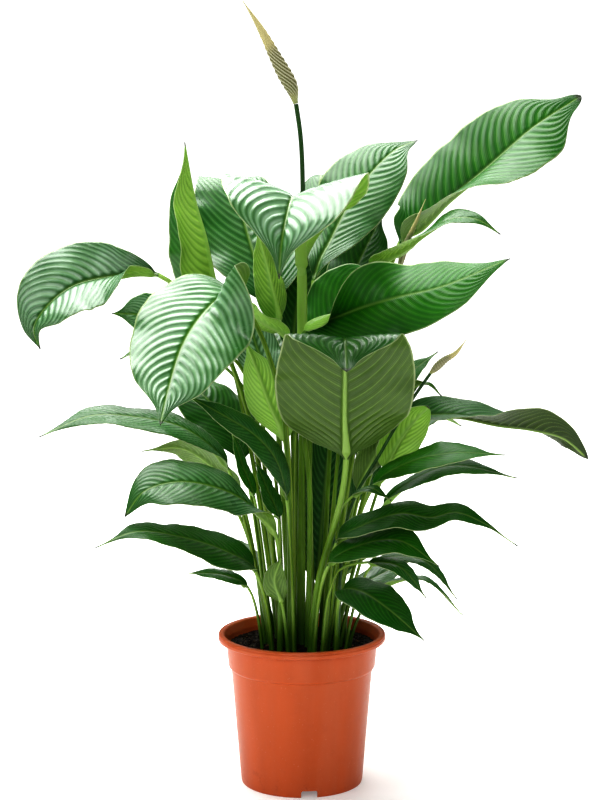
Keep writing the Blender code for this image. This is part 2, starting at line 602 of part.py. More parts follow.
def make_stalk(one, root, paint, holder):
    """A round flower stalk: a curve with a bevel, capped at both ends."""
    radius = one["stalk_radius"]
    bottom = Vector((root.x, root.y, SOIL_Z - HOLE_DEPTH + SEAT_GAP))
    top = Vector((root.x, root.y, SOIL_Z + SOIL_CROWN + STALK_RISE))
    bud = [Vector(p) for p in one["bud"]]
    heading = (bud[1] - bud[0]).normalized()
    end = bud[0] - heading * STALK_TO_BUD_GAP
    path, marks = smooth_path([bottom, top, *(Vector(p) for p in one["stalk"]), end])
    above = path[marks[1]:]
    count = max(3, round(path_length(above) / FLOWER_STALK_STEP))
    places = [bottom] + [place for place, _ in stations(above, [step / count for step in range(count + 1)])]
    curve = bpy.data.curves.new(one["name"] + "_stalk", "CURVE")
    curve.dimensions = "3D"
    curve.bevel_depth = radius * MM
    curve.bevel_resolution = 2
    curve.use_fill_caps = True
    line = curve.splines.new("POLY")
    line.points.add(len(places) - 1)
    for point, place in zip(line.points, places):
        point.co = (*(c * MM for c in place), 1.0)
    curve.materials.append(paint)
    made = bpy.data.objects.new(one["name"] + "_stalk", curve)
    holder.objects.link(made)
    return made


def bud_radius(one, u):
    """The closed flower swells soon after its base and draws out into a long point."""
    collar = one["stalk_radius"] * BUD_COLLAR
    swell = collar + (one["radius"] - collar) * (1 - exp(-((u / BUD_SWELL_LENGTH) ** BUD_SWELL_POWER)))
    return max(BUD_TIP_RADIUS, swell * (1 - u ** BUD_TAPER_POWER))


def make_bud(one, paint, holder):
    path, _ = smooth_path([Vector(p) for p in one["bud"]])
    rings = []
    for u, (place, direction) in zip(BUD_STATIONS, stations(path, BUD_STATIONS)):
        side = Vector((0, 1, 0)).cross(direction).normalized()
        rings.append(circle_of_points(place, side, side.cross(direction), bud_radius(one, u)))
    points, faces = loft(rings)
    made = mesh_object(one["name"] + "_spathe", points, faces, paint, holder)
    made.data.shade_smooth()
    return made


def main():
    clear_scene()
    holder = collection(OBJECT_NAME)
    tools = collection("cutters")
    clay_red = material("terracotta_plastic", (0.56, 0.085, 0.033), 0.35)
    dark_soil = material("dark_soil", (0.012, 0.008, 0.005), 0.95)
    leaf_green = material("leaf_green", (0.022, 0.09, 0.02), 0.38)
    stalk_green = material("stalk_green", (0.07, 0.2, 0.03), 0.45)
    cream = material("cream_spathe", (0.72, 0.68, 0.42), 0.55)

    leaf_roots, flower_roots, radii = settle_roots(LEAVES, FLOWERS)
    make_pot(clay_red, holder, tools)
    make_soil([*leaf_roots, *flower_roots], radii, dark_soil, holder, tools)
    for one, root in zip(LEAVES, leaf_roots):
        make_leaf(one, root, leaf_green, holder)
    for one, root in zip(FLOWERS, flower_roots):
        make_stalk(one, root, stalk_green, holder)
        make_bud(one, cream, holder)


main()
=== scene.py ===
"""Looks of a potted peace lily: glossy ribbed leaves, closed pale flowers, moist soil and a clay-red pot.

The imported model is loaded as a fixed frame, and each of its nodes is replaced by a finer piece of the same
form. Sizes are in millimetres and degrees, and MM turns them into Blender's metres where a mesh is made.
"""

from math import cos, pi, radians, sin, tan
from types import SimpleNamespace

import bmesh
import bpy
import numpy as np
from bpy.props import FloatProperty, FloatVectorProperty, IntProperty, PointerProperty
from mathutils import Matrix, Vector, noise


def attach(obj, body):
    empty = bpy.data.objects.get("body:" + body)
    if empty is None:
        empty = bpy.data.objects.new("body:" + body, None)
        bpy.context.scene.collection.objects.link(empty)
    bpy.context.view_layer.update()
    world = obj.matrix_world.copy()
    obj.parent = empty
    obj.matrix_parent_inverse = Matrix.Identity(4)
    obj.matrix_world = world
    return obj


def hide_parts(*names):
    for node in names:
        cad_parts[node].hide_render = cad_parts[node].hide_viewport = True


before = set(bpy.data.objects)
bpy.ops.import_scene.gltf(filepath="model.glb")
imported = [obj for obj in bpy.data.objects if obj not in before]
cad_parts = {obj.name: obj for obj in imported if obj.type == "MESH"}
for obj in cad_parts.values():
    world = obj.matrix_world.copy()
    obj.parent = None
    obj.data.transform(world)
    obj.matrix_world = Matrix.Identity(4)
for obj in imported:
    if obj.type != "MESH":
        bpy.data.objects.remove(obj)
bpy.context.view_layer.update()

bl_info = {
    "name": "Potted Peace Lily",
    "version": (1, 0, 0),
    "blender": (4, 5, 0),
    "location": "3D View > Sidebar > Peace Lily",
    "description": "Builds a peace lily in a plastic nursery pot, leaf by leaf, with its soft studio",
    "category": "Add Mesh",
}

MM = 0.001
BODY = "root"

# Pot, mm
RIM_RADIUS = 85.0
RIM_INNER_RADIUS = 79.0
POT_HEIGHT = 155.0
LIP_HEIGHT = 7.4
COLLAR_TOP_RADIUS = 77.0
COLLAR_FOOT_RADIUS = 74.6
LEDGE_Z = 120.0
WALL_TOP_RADIUS = 71.8
FOOT_RADIUS = 62.0
WALL = 1.6
WALL_SLOPE = (WALL_TOP_RADIUS - FOOT_RADIUS) / (LEDGE_Z - 1)
FOOT_RING_WIDTH = 2.0
FOOT_CHAMFER = 0.7
BASE_UNDER_Z = 8.0
BASE_THICKNESS = 2.5
BASE_TOP_Z = BASE_UNDER_Z + BASE_THICKNESS
NOTCHES = 3
NOTCH_WIDTH = 16.5
NOTCH_HEIGHT = 7.3
NOTCH_DEPTH = 16.0
NOTCH_ROUNDING = 1.0
FRONT_NOTCH_TURN = 7.0
DRAIN_HOLES = 6
DRAIN_RADIUS = 4.0
DRAIN_RING_RADIUS = 40.0
RIM_GROOVE_DEPTH = 0.5
RIM_BAND_STEP = 0.15
CORNER_STEPS = 4
SHARP_ANGLE = 32.0

# Soil, mm
SOIL_Z = 143.0
SOIL_CROWN = 2.0
SOIL_LEVEL_RADIUS = 58.0
SEAT_GAP = 0.35
HOLE_DEPTH = 14.0
SOIL_RINGS = 64
SOIL_SPOKES = 220
CLOD_HEIGHT = 0.9
CLOD_SIZE = 9.0
GRAIN_HEIGHT = 0.6
GRAIN_SIZE = 2.6
CRUMB_EDGE_ROOM = 3.0
SOIL_DIP = 0.9
SOIL_EDGE_DROP = 4.0
COLLAR_RISE = 26.1
SOIL_EDGE_RADIUS = (COLLAR_FOOT_RADIUS - WALL - SEAT_GAP
                    + (COLLAR_TOP_RADIUS - COLLAR_FOOT_RADIUS) * (SOIL_Z - LEDGE_Z - 3) / COLLAR_RISE)

# Strewn bits: their share of the crumbs' number, their size against a crumb's, and length for their width
STREWN = {"soil_crumbs": (1.0, 1.0, 1.2), "soil_bark": (0.05, 1.3, 2.4)}
SMALLEST_SHARE = 0.25

# Leaves, mm and degrees: the form that the frame's nodes have
BLADE_THICKNESS = 0.95
KEEL = 1.6
STALK_TOP_BASE = 1.0
STALK_TOP_PER_WIDTH = 0.012
STALK_SPREAD = 1.9
STALK_TAPER = 1.6
BASE_CHANNEL = 38.0
CHANNEL_LENGTH = 0.3
MOST_LIFT = 84.0
MARGIN_BEND = -18.0
OPENING_START = 0.3
NEVER_FLAT = 0.01
BASE_TURN_REACH = 0.35
DRIP_START = 0.76
DRIP_END = 0.94
WAVE = 0.035
WAVES = 1.5
WAVE_OFFSET = 2.1
STALK_RISE = 1.0
STALK_FOOT_HEIGHT = 70.0
ROOT_GAP = 2.1
ROOT_ROUNDS = 300

# Leaves, mm and degrees: what only shows close by
PATH_STEPS = 40
STALK_ROW = 11.0
MARGIN_THICKNESS = 0.45
TIP_HALF_WIDTH = 0.5
BLADE_BLEND = 0.05
WING = 1.8
WING_LENGTH = 0.14
VEIN_ANGLE = 46.0
NARROW_VEIN_ANGLE = 24.0
VEIN_ANGLE_WIDTHS = (30.0, 110.0)
VEIN_CURVE = 0.6
RIB_SPACING_BASE = 7.0
RIB_SPACING_PER_WIDTH = 0.03
RIB_SIDE_OFFSET = 0.4
FINE_VEINS = 5.0
RIB_SHARPNESS = 0.8
RIB_RIPPLE = 0.02
FINE_WAVES = ((0.014, 3.3), (0.008, 7.1))
LEAF_PHASE = 1.7
MIDRIB_GROOVE = 0.45
KNEE = (24.0, 0.1)
USUAL_GLOSS = 0.45
STALK_CHANNEL = 0.3
STALK_CHANNEL_WIDTH = 0.45
LEAST_STALK_ROWS = 6
LEAST_BLADE_ROWS = 24
LEAST_HALF_COLUMNS = 7
ROW_CROWDING = 0.25
COLUMN_CROWDING = 1.2
KNEE_PAST_BLADE = (-18.0, -8.0)
KNEE_FADE = (0.6, 1.2)
KEEL_WIDTH = 1.1
KEEL_NARROWING = 0.8
LEAST_KEEL_WIDTH = 0.35
LEAST_KEEL_DEPTH = 0.25
RIBS_BESIDE_KEEL = (0.6, 2.6)
RIBS_FADE_AT_MARGIN = 0.65
RIBS_START = (0.02, 0.12)
RIBS_END = (0.02, 0.2)

# How strongly ribbed the least glossy leaf's upper face is, as a share of the glossiest one's
LEAST_RIBBING = 0.55


def leaf(name, root, blade, width, ages, roll=0, twist=0, fold=8, belly=0.41, power=1.95, face=None, stem=(),
         cup=(0, 0), curl=(0, 0), opens=0.6, base_turn=0, drip=0.45, gloss=USUAL_GLOSS, knee=KNEE):
    """One leaf: root (x, y) on the soil, then the points that its midrib passes, from blade base to tip.

    ages says how young its upper and its under face look, where 0 is old dark green and 1 is new lime green.
    roll lowers the right-hand margin as seen looking along the leaf, twist adds to it towards the tip,
    fold lifts both halves, belly is where along it the blade is widest, a higher power draws out both ends,
    and face is the compass heading of a leaf that stands too straight to have one. stem holds points that
    the stalk passes on its way up. cup lifts the left and the right half further and curl rolls their margins
    up, both from the base to where the blade opens. base_turn is more roll at the base alone, and drip is how
    much of its width the blade loses where its tip draws out. gloss is 0 for a satin upper face and 1 for a
    wet shine. knee says for how long the stalk is pale below the blade, and how much thicker it is there.
    """
    return SimpleNamespace(name="leaf_" + name, root=root, blade=blade, width=width, ages=ages, roll=roll,
                           twist=twist, fold=fold, belly=belly, power=power, face=face, stem=stem, cup=cup,
                           curl=curl, opens=opens, base_turn=base_turn, drip=drip, gloss=gloss, knee=knee)


LEAVES = (
    # Crown, left
    leaf("far_left", (-18, 6), [(-144, 26, 516), (-186, 22, 516), (-228, 12, 507), (-254, 0, 487),
         (-266, -8, 466), (-260, -12, 446)], 90, (0.1, 0.75), roll=-46, fold=24, belly=0.5, power=2.3,
         stem=[(-58, 16, 390), (-90, 20, 462)], cup=(56, 10), opens=0.4, drip=0.5, gloss=0.85),
    leaf("front_left", (-12, -26), [(-60, -52, 498), (-73, -66, 505), (-94, -96, 491), (-112, -130, 465),
         (-124, -172, 426), (-129, -201, 400)], 112, (0.42, 0.5), roll=-20, fold=6, belly=0.36, power=1.4,
         stem=[(-13, -44, 332), (-20, -52, 401), (-31, -56, 441), (-43, -56, 472)], cup=(84, -8), opens=0.35,
         drip=0.55, gloss=0.8),
    leaf("upright_left", (-24, 14), [(-78, 64, 445), (-84, 55, 481), (-91, 47, 518), (-98, 44, 554),
         (-108, 45, 590), (-118, 48, 648)], 89, (0.85, 1.0), fold=64, face=13, belly=0.38, power=1.9,
         stem=[(-46, 34, 300), (-66, 56, 400)], drip=0.35),
    leaf("broad_back_left", (-10, 24), [(-37, 59, 482), (-56, 97, 552), (-76, 149, 604), (-93, 200, 584)],
         118, (0.12, 0.3), roll=2, fold=12, belly=0.37, power=1.7, cup=(0, 14), gloss=0.55),
    # Crown, middle
    leaf("crown_front", (-3, -8), [(0, -22, 522), (-2, -60, 566), (-6, -105, 599), (-9, -130, 603),
         (-14, -158, 588), (-19, -178, 562), (-21, -188, 532)], 144, (0.45, 0.8), roll=-3, fold=26,
         belly=0.52, power=2.1, cup=(26, 40), opens=0.5, drip=0.7, gloss=1.0, knee=(100.0, 0.8)),
    leaf("crown_back", (-2, 22), [(-10, 56, 430), (-2, 84, 500), (10, 118, 560), (20, 160, 610),
         (16, 203, 594)], 64, (0.05, 0.3), fold=-4, stem=[(-8, 30, 300)]),
    leaf("crown_right", (14, 20), [(12, 30, 510), (30, 54, 552), (58, 80, 600), (94, 104, 637),
         (120, 122, 648)], 82, (0.22, 0.5), roll=28, fold=6, belly=0.54, power=2.1, drip=0.45, gloss=0.55),
    leaf("shade_right", (18, 20), [(40, 52, 478), (49, 64, 504), (64, 82, 536), (76, 94, 558),
         (83, 100, 572)], 62, (0.0, 0.2), roll=22, fold=8, power=1.7, gloss=0.1),
    # Crown, right
    leaf("tall_right", (26, 12), [(98, 24, 548), (119, 30, 564), (144, 37, 589), (168, 43, 608),
         (190, 50, 626), (212, 57, 645), (234, 64, 663), (283.9, 80, 694)], 106, (0.32, 0.4), roll=12,
         twist=40, fold=8, belly=0.48, power=1.05, cup=(26, 38), opens=0.78, drip=0.55, gloss=0.3),
    leaf("right_hook", (22, 2), [(66, 8, 524), (83, -3, 534), (104, -13, 548), (125, -20, 564),
         (146, -26, 576), (170, -32, 576), (193, -40, 562)], 40, (0.25, 0.75), roll=-34, twist=84, fold=14),
    leaf("bright_right", (6, -20), [(1, -46, 464), (40, -62, 486), (86, -78, 503), (135, -94, 517),
         (196, -108, 544)], 80, (0.8, 0.85), roll=50, fold=-2, belly=0.47, power=2.0, stem=[(8, -34, 300)],
         cup=(80, 0), curl=(92, 0), opens=0.55, base_turn=36, drip=0.3, gloss=0.05),
    leaf("inner_green", (8, -2), [(16, -8, 452), (32, -6, 484), (56, -2, 510), (84, 2, 522)], 70, (0.75, 0.8),
         roll=60, fold=8, gloss=0.1),
    leaf("big_centre", (10, -36), [(43, -68, 345), (41, -84, 390), (41, -98, 432), (40, -124, 470),
         (41, -176, 446)], 135, (0.35, 0.16), fold=10, belly=0.42, power=1.1, face=270, stem=[(17, -50, 220),
         (38, -62, 302)], drip=0.6, knee=(78.0, 0.1)),
    leaf("lime_left", (-6, -12), [(-13, -26, 458), (-36, -20, 474), (-61, -12, 490), (-86, 0, 502)], 50,
         (0.95, 0.95), roll=34, fold=8, stem=[(-8, -14, 300)]),
    leaf("streaked_left", (-14, 0), [(-29, 8, 402), (-46, 30, 444), (-61, 58, 492)], 46, (0.05, 0.3),
         roll=-30, fold=6, gloss=0.8),
    leaf("lime_inner", (-18, -20), [(-17, -30, 355), (-33, -36, 398), (-46, -36, 434), (-56, -34, 458)], 46,
         (0.9, 0.95), roll=10, fold=16, face=250),
    leaf("pale_inner", (-4, 4), [(-22, 7, 470), (-29, 11, 500), (-36, 18, 530), (-45, 25, 561)], 36,
         (0.5, 0.7), face=300, fold=24, belly=0.36, power=1.5, stem=[(-5, 4, 300), (-9, 3, 430)]),
    # Middle, left
    leaf("behind_front_left", (-22, -6), [(-96, -2, 456), (-136, -6, 474), (-162, -26, 482),
         (-185, -44, 485)], 58, (0.4, 0.45), roll=-62, stem=[(-40, 4, 340), (-60, 4, 424)], gloss=0.8),
    leaf("dark_point_left", (-20, 38), [(-88, 72, 424), (-138, 80, 448), (-188, 76, 425)], 42, (0.1, 0.3),
         roll=-20, stem=[(-30, 60, 320), (-56, 78, 388)]),
    leaf("long_left", (-32, -10), [(-73, -15, 325), (-90, -24, 350), (-120, -34, 372), (-162, -45, 383),
         (-206, -57, 386), (-255, -72, 368)], 48, (0.15, 0.45), roll=-24, fold=6, drip=0.5, gloss=0.55),
    leaf("under_left", (-36, 0), [(-64, 10, 296), (-92, 16, 326), (-122, 10, 344), (-161, -2, 342)], 46,
         (0.3, 0.35), roll=34, fold=4),
    leaf("broad_left", (-22, -32), [(-25, -46, 262), (-36, -50, 282), (-56, -58, 302), (-84, -72, 318),
         (-120, -86, 326), (-152, -94, 318), (-171, -100, 294)], 68, (0.12, 0.5), roll=-34, fold=8,
         base_turn=84, belly=0.56, power=2.1, drip=0.4, gloss=0.6),
    leaf("low_left", (-30, -28), [(-46, -52, 230), (-75, -72, 255), (-117, -92, 273), (-159, -106, 281),
         (-198, -118, 268)], 64, (0.06, 0.4), roll=-24, fold=6, belly=0.32, power=2.3, drip=0.6, gloss=0.4),
    leaf("pale_back_left", (-34, 26), [(-60, 50, 322), (-86, 76, 370), (-120, 104, 392), (-158, 132, 374)],
         74, (0.2, 0.35), roll=-18, fold=4),
    leaf("dark_diagonal", (-8, -34), [(-15, -54, 302), (-25, -68, 344), (-45, -84, 371), (-72, -98, 391),
         (-112, -106, 415)], 42, (0.05, 0.3), roll=-50, fold=6),
    leaf("slim_left", (-32, -2), [(-48, -8, 296), (-60, -7, 330), (-70, -4, 362)], 22, (0.8, 0.9), roll=-20),
    leaf("inner_left", (-22, -14), [(-23, -20, 276), (-34, -22, 306), (-46, -22, 334)], 34, (0.5, 0.6),
         roll=-30),
    leaf("small_low_left", (-40, -20), [(-54, -32, 209), (-76, -40, 223), (-113, -46, 227)], 22, (0.6, 0.4),
         roll=-24),
    leaf("small_teal", (-14, -44), [(-20, -52, 198), (-27, -56, 222), (-20, -56, 245)], 24, (0.05, 0.3),
         face=270, fold=4),
    # Middle, right
    leaf("small_point_right", (30, 6), [(79, 22, 372), (104, 26, 411), (137, 26, 439)], 36, (0.6, 0.6),
         roll=24),
    leaf("long_right", (30, 0), [(92, 0, 370), (116, -4, 377), (153, -12, 380), (195, -28, 373),
         (228, -44, 370), (256, -58, 364), (279, -66, 345)], 72, (0.1, 0.0), roll=50, twist=-118, fold=24,
         belly=0.52, power=1.5, drip=0.4, gloss=0.0),
    leaf("olive_right", (26, -12), [(55, -26, 304), (79, -30, 357), (106, -30, 408), (124, -30, 414),
         (138, -32, 402)], 40, (0.3, 0.3), face=300, fold=18),
    leaf("lime_right", (32, -18), [(82, -34, 328), (94, -38, 354), (108, -42, 376), (124, -46, 394)], 46,
         (1.0, 1.0), roll=-14, fold=6, belly=0.5, face=300, power=1.4, drip=0.0),
    leaf("mid_right", (28, -22), [(69, -48, 312), (100, -66, 340), (143, -80, 353), (196, -88, 353)], 50,
         (0.9, 0.8), roll=20, fold=8, gloss=0.05),
    leaf("mid_right_under", (38, -12), [(80, -24, 288), (110, -34, 318), (150, -42, 334), (212, -54, 324)],
         42, (1.0, 0.9), roll=14, fold=6, gloss=0.0),
    leaf("small_dark_right", (26, -28), [(50, -59, 307), (66, -70, 317), (87, -76, 306)], 18, (0.0, 0.3),
         roll=10, stem=[(34, -46, 240), (36, -45, 284)]),
    leaf("low_right", (24, -34), [(34, -58, 260), (62, -79, 283), (96, -91, 296), (124, -96, 293),
         (148, -102, 299), (174, -108, 290), (207, -116, 269)], 50, (0.02, 0.3), roll=22, fold=8, belly=0.32,
         power=2.3, stem=[(28, -44, 215)], drip=0.6, gloss=0.2),
    leaf("lower_right", (12, -46), [(26, -64, 238), (58, -86, 264), (94, -100, 271), (132, -110, 248)], 52,
         (0.4, 0.5), roll=24, fold=8, gloss=0.2),
    leaf("arched_small_right", (20, -52), [(64, -80, 245), (94, -88, 243), (121, -94, 213)], 24, (0.2, 0.5),
         roll=20, stem=[(24, -58, 195), (28, -62, 214), (38, -72, 237)]),
    leaf("drooping_right", (34, -42), [(39, -62, 211), (58, -92, 219), (80, -108, 208), (118, -120, 177)], 52,
         (0.02, 0.3), roll=18, fold=8, gloss=0.1),
    leaf("narrow_right", (44, -28), [(72, -34, 234), (121, -42, 238), (154, -52, 202)], 24, (0.15, 0.4),
         roll=10),
    leaf("narrow_low_right", (48, -14), [(74, -10, 200), (122, -12, 214), (163, -20, 177)], 24, (0.45, 0.6),
         roll=-4),
    leaf("back_low_right", (44, 2), [(50, 14, 190), (82, 32, 208), (113, 46, 219)], 36, (0.6, 0.7), roll=16),
    # Behind the stalks
    leaf("shade_centre", (14, 38), [(16, 40, 196), (20, 48, 250), (26, 58, 320), (32, 68, 384)], 52,
         (0.0, 0.1), face=80, fold=8, power=1.4, drip=0.2),
    leaf("shade_centre_right", (34, 24), [(54, 34, 280), (66, 44, 312), (78, 54, 346)], 38, (0.0, 0.1),
         roll=10),
    # Back
    leaf("back_high_right", (22, 40), [(52, 86, 430), (84, 132, 478), (116, 178, 488), (142, 203, 462)], 80,
         (0.15, 0.4), fold=8, stem=[(34, 72, 290)]),
    leaf("back_high_left", (-8, 34), [(-24, 70, 400), (-46, 120, 444), (-70, 172, 446), (-88, 202, 416)], 80,
         (0.12, 0.4), fold=8),
    leaf("back_right", (36, 30), [(60, 60, 316), (100, 96, 350), (142, 132, 358), (172, 158, 342)], 58,
         (0.3, 0.5), fold=8),
    leaf("back_left", (-34, 30), [(-66, 66, 264), (-102, 104, 286), (-142, 140, 286), (-170, 166, 264)], 56,
         (0.1, 0.4), fold=8),
    leaf("back_low", (6, 46), [(12, 66, 236), (20, 118, 268), (30, 170, 266), (36, 201, 240)], 60,
         (0.15, 0.4), fold=8),
    leaf("back_low_left", (-30, 44), [(-42, 60, 196), (-66, 90, 222), (-94, 120, 228), (-114, 140, 218)], 40,
         (0.35, 0.6), fold=6),
    leaf("back_low_far_right", (34, 46), [(44, 58, 200), (78, 92, 228), (112, 124, 224), (140, 148, 194)], 46,
         (0.12, 0.4), fold=6),
)

# Flowers, mm: root, the widest radius, the stalk's points, and the closed pale leaf from base to tip
FLOWERS = (
    SimpleNamespace(name="tall_flower", root=(-2, 2), radius=9.6, stalk_radius=2.3,
                    stalk=[(0, 8, 420), (1, 8, 560), (0, 9, 633), (-2, 10, 660)],
                    bud=[(-6, 10, 687), (-10, 10, 702), (-19, 10, 719), (-28, 10, 736), (-40, 10, 759),
                         (-58, 10, 787)]),
    SimpleNamespace(name="side_flower", root=(36, -36), radius=5.0, stalk_radius=1.6,
                    stalk=[(46, -46, 286), (79, -57, 353), (106, -58, 400)],
                    bud=[(125, -58, 428), (138, -60, 441), (149, -61, 448), (159, -62, 461)]),
    SimpleNamespace(name="back_flower", root=(24, 34), radius=4.4, stalk_radius=1.6,
                    stalk=[(46, 64, 330), (84, 45, 470)],
                    bud=[(97, 18, 522), (103, 8, 547), (112, 0, 569), (122, -4, 594)]),
)

# Closed flowers, mm, and shares of their length
BUD_TIP_RADIUS = 0.45
BUD_COLLAR = 1.1
BUD_SWELL_LENGTH = 0.14
BUD_SWELL_POWER = 1.5
BUD_TAPER_POWER = 1.35
BUD_ROWS = 90
BUD_SIDES = 48
BUD_RIBS = 18
BUD_RIB_HEIGHT = 0.09
BUD_RIB_SHARPNESS = 1.4
BUD_WRAP = 0.26
BUD_SEAM_STEP = 0.09
BUD_SEAM_TURNS = 0.9
BUD_SEAM_START = 0.6
STALK_TO_BUD_GAP = 0.35
FLOWER_ROOT_ROOM = 1.2
FLOWER_STALK_SIDES = 20
FLOWER_STALK_ROW = 8.0
FLOWER_STALK_CORNERS = 0.05

# Colours laid over the main ones, and tints that multiply them
# Painted highlight: a pale stripe along both sides of a leaf stalk
STALK_EDGE_HIGHLIGHT = (0.3, 0.42, 0.06)
LEAF_STALK_FOOT = (0.025, 0.09, 0.008)
FLOWER_STALK_KNEE = (0.1, 0.22, 0.03)
FLOWER_STALK_FOOT = (0.03, 0.12, 0.01)
BROWN_TIP = (0.01, 0.015, 0.003)
UPPER_PATCH_TINT = (0.55, 0.62, 0.5)
# Darkens random patches of the under face, and also paints the shade beside each raised vein
UNDER_PATCH_AND_SHADE_TINT = (0.6, 0.68, 0.55)
# Lightens a leaf along its veins: painted sheen on its ribs
PAINTED_VEIN_SHEEN_TINT = (2.7, 2.1, 3.0)
SPATHE_RIB = (0.62, 0.6, 0.42)
SPATHE_SEAM = (0.78, 0.74, 0.5)
SPATHE_FOOT = (0.2, 0.28, 0.1)
SPATHE_TIP = (0.35, 0.4, 0.12)
# Paler plastic: painted sheen in vertical bands, and a faint random mottle
SHEEN_AND_MOTTLE_PLASTIC = (0.56, 0.15, 0.07)
SCUFF = (0.7, 0.35, 0.24)
GRIME = (0.2, 0.035, 0.016)
PALE_BIT = (0.26, 0.17, 0.09)
BARK_LIGHTENING = 2.2

# How far red, green and blue light go into a leaf and into the pot, as shares of a depth, and that depth, m
LEAF_LIGHT = ((0.45, 1.0, 0.15), 0.0009)
PLASTIC_LIGHT = ((1.0, 0.25, 0.1), 0.002)

# The photograph's view
CAMERA_DISTANCE = 2.2
CAMERA_HEIGHT = 0.718
CAMERA_PITCH = 8.4
PICTURE_HEIGHT_PX = 800
FOCAL_PX = 2222.0
PICTURE_CENTRE_PX = 300.0
POT_AXIS_PX = 301.9
SENSOR_MM = 36.0

# The floor glows softly from the first distance to the second, m, to meet the white room without a line
FLOOR_GLOW = (-0.3, 0.9)
# How much of that glow lights and mirrors in the object
GLOW_SHARE = 0.3
FLOOR_RADIUS = 14.0

# Softboxes, m: the setting with its power, its place, its width and its height
SOFTBOXES = {
    "overhead_softbox": ("overhead", (-0.4, 0.4, 2.05), 1.9, 1.4),
    "back_softbox": ("back", (-0.2, 1.9, 1.7), 2.2, 1.2),
    "left_softbox": ("sides", (-1.95, -0.9, 0.8), 0.5, 1.4),
    "right_softbox": ("sides", (1.75, -0.7, 0.8), 0.5, 1.4),
    "front_softbox": ("front", (-0.5, -2.6, 1.6), 1.4, 1.0),
}
PLANT_MIDDLE = Vector((0, 0, 0.45))


def tint(name, description, default):
    return FloatVectorProperty(name=name, description=description, subtype="COLOR", size=3, min=0, max=1,
                               default=default)


def amount(name, description, default, low=0.0, high=1000.0, unit="NONE"):
    return FloatProperty(name=name, description=description, unit=unit, min=low, max=high, default=default)


def count(name, description, default, low, high):
    return IntProperty(name=name, description=description, min=low, max=high, default=default)


class PotLooks(bpy.types.PropertyGroup):
    plastic: tint("Plastic", "Colour of the moulded pot", (0.58, 0.12, 0.036))
    roughness: amount("Roughness", "0 is a mirror, 1 is chalk", 0.3, high=1)
    steps: count("Steps", "Facets round the turned wall", 192, 32, 512)


class SoilLooks(bpy.types.PropertyGroup):
    ground: tint("Soil", "Colour of the moist soil", (0.016, 0.0105, 0.007))
    bark: tint("Bark", "Colour of the bark bits", (0.07, 0.035, 0.015))
    crumb_size: amount("Crumb size", "Width of the largest crumbs", 0.0034, 0.0002, 0.01, "LENGTH")
    crumbs: count("Crumbs per area", "Crumbs on each square metre", 90000, 0, 400000)
    seed: count("Seed", "Another draw of the crumbs", 7, 0, 10000)


class LeafLooks(bpy.types.PropertyGroup):
    old_top: tint("Old upper face", "Upper face of an old leaf", (0.004, 0.075, 0.002))
    young_top: tint("Young upper face", "Upper face of a new leaf", (0.012, 0.135, 0.001))
    old_under: tint("Old under face", "Under face of an old leaf", (0.028, 0.06, 0.006))
    young_under: tint("Young under face", "Under face of a new leaf", (0.23, 0.46, 0.055))
    # Painted sheen: a whitish colour along the veins of glossy leaves, laid in place of their gloss
    painted_sheen: tint("Bloom", "Waxy bloom along the veins of a glossy leaf", (0.46, 0.64, 0.49))
    vein: tint("Vein", "Midrib and veins", (0.3, 0.48, 0.1))
    margin: tint("Margin", "Thin edge of the blade", (0.5, 0.58, 0.3))
    stalk: tint("Stalk", "Leaf stalk", (0.09, 0.19, 0.004))
    rib_height: amount("Rib height", "Height of a rib as a share of the rib spacing", 0.16, high=0.5)
    row: amount("Row", "Length of a blade's mesh rows", 0.0017, 0.0005, 0.02, "LENGTH")
    column: amount("Column", "Width of a blade's mesh columns", 0.0017, 0.0005, 0.02, "LENGTH")


class FlowerLooks(bpy.types.PropertyGroup):
    cream: tint("Cream", "Tip of the closed flower", (0.52, 0.46, 0.22))
    shade: tint("Shade", "Body of the closed flower", (0.085, 0.09, 0.03))
    stalk: tint("Stalk", "Flower stalk", (0.012, 0.06, 0.004))


class StudioLooks(bpy.types.PropertyGroup):
    floor: tint("Floor", "Pale floor", (0.86, 0.86, 0.85))
    overhead: amount("Overhead", "Power of the softbox overhead", 62, unit="POWER")
    back: amount("Back", "Power of the softbox high behind the plant", 17, unit="POWER")
    sides: amount("Sides", "Power of each side softbox", 5, unit="POWER")
    front: amount("Front", "Power of the front softbox", 17, unit="POWER")
    ambient: amount("Ambient", "Brightness of the room", 0.12)


# Node trees

class Nodes:
    """Adds nodes to a tree. What a method gives can feed another node."""

    def __init__(self, tree):
        self.tree = tree

    def feed(self, socket, value):
        """Links value to the socket if it is another node's output, and else sets it there."""
        if isinstance(value, bpy.types.NodeSocket):
            self.tree.links.new(value, socket)
        elif value is not None:
            socket.default_value = value

    def add(self, kind, inputs=(), **settings):
        """A new node of that kind. settings name its properties, and inputs pairs its sockets with values."""
        made = self.tree.nodes.new(kind)
        for name, value in settings.items():
            setattr(made, name, value)
        for key, value in dict(inputs).items():
            self.feed(made.inputs[key], value)
        return made

    def calc(self, operation, a, b=None, c=None):
        return self.add("ShaderNodeMath", {0: a, 1: b, 2: c}, operation=operation).outputs[0]

    def times(self, first, *others):
        for other in others:
            first = self.calc("MULTIPLY", first, other)
        return first

    def scaled(self, vector, scale):
        return self.add("ShaderNodeVectorMath", {0: vector, "Scale": scale}, operation="SCALE").outputs[0]

    def step(self, value, low, high, to_low=0.0, to_high=1.0):
        """A smooth step of value: to_low below low, to_high above high."""
        inputs = {"Value": value, "From Min": low, "From Max": high, "To Min": to_low, "To Max": to_high}
        return self.add("ShaderNodeMapRange", inputs, interpolation_type="SMOOTHSTEP").outputs[0]

    def arches(self, value):
        """0 where value is a whole number, and 1 half-way between two."""
        return self.calc("ABSOLUTE", self.calc("SINE", self.calc("MULTIPLY", value, pi)))


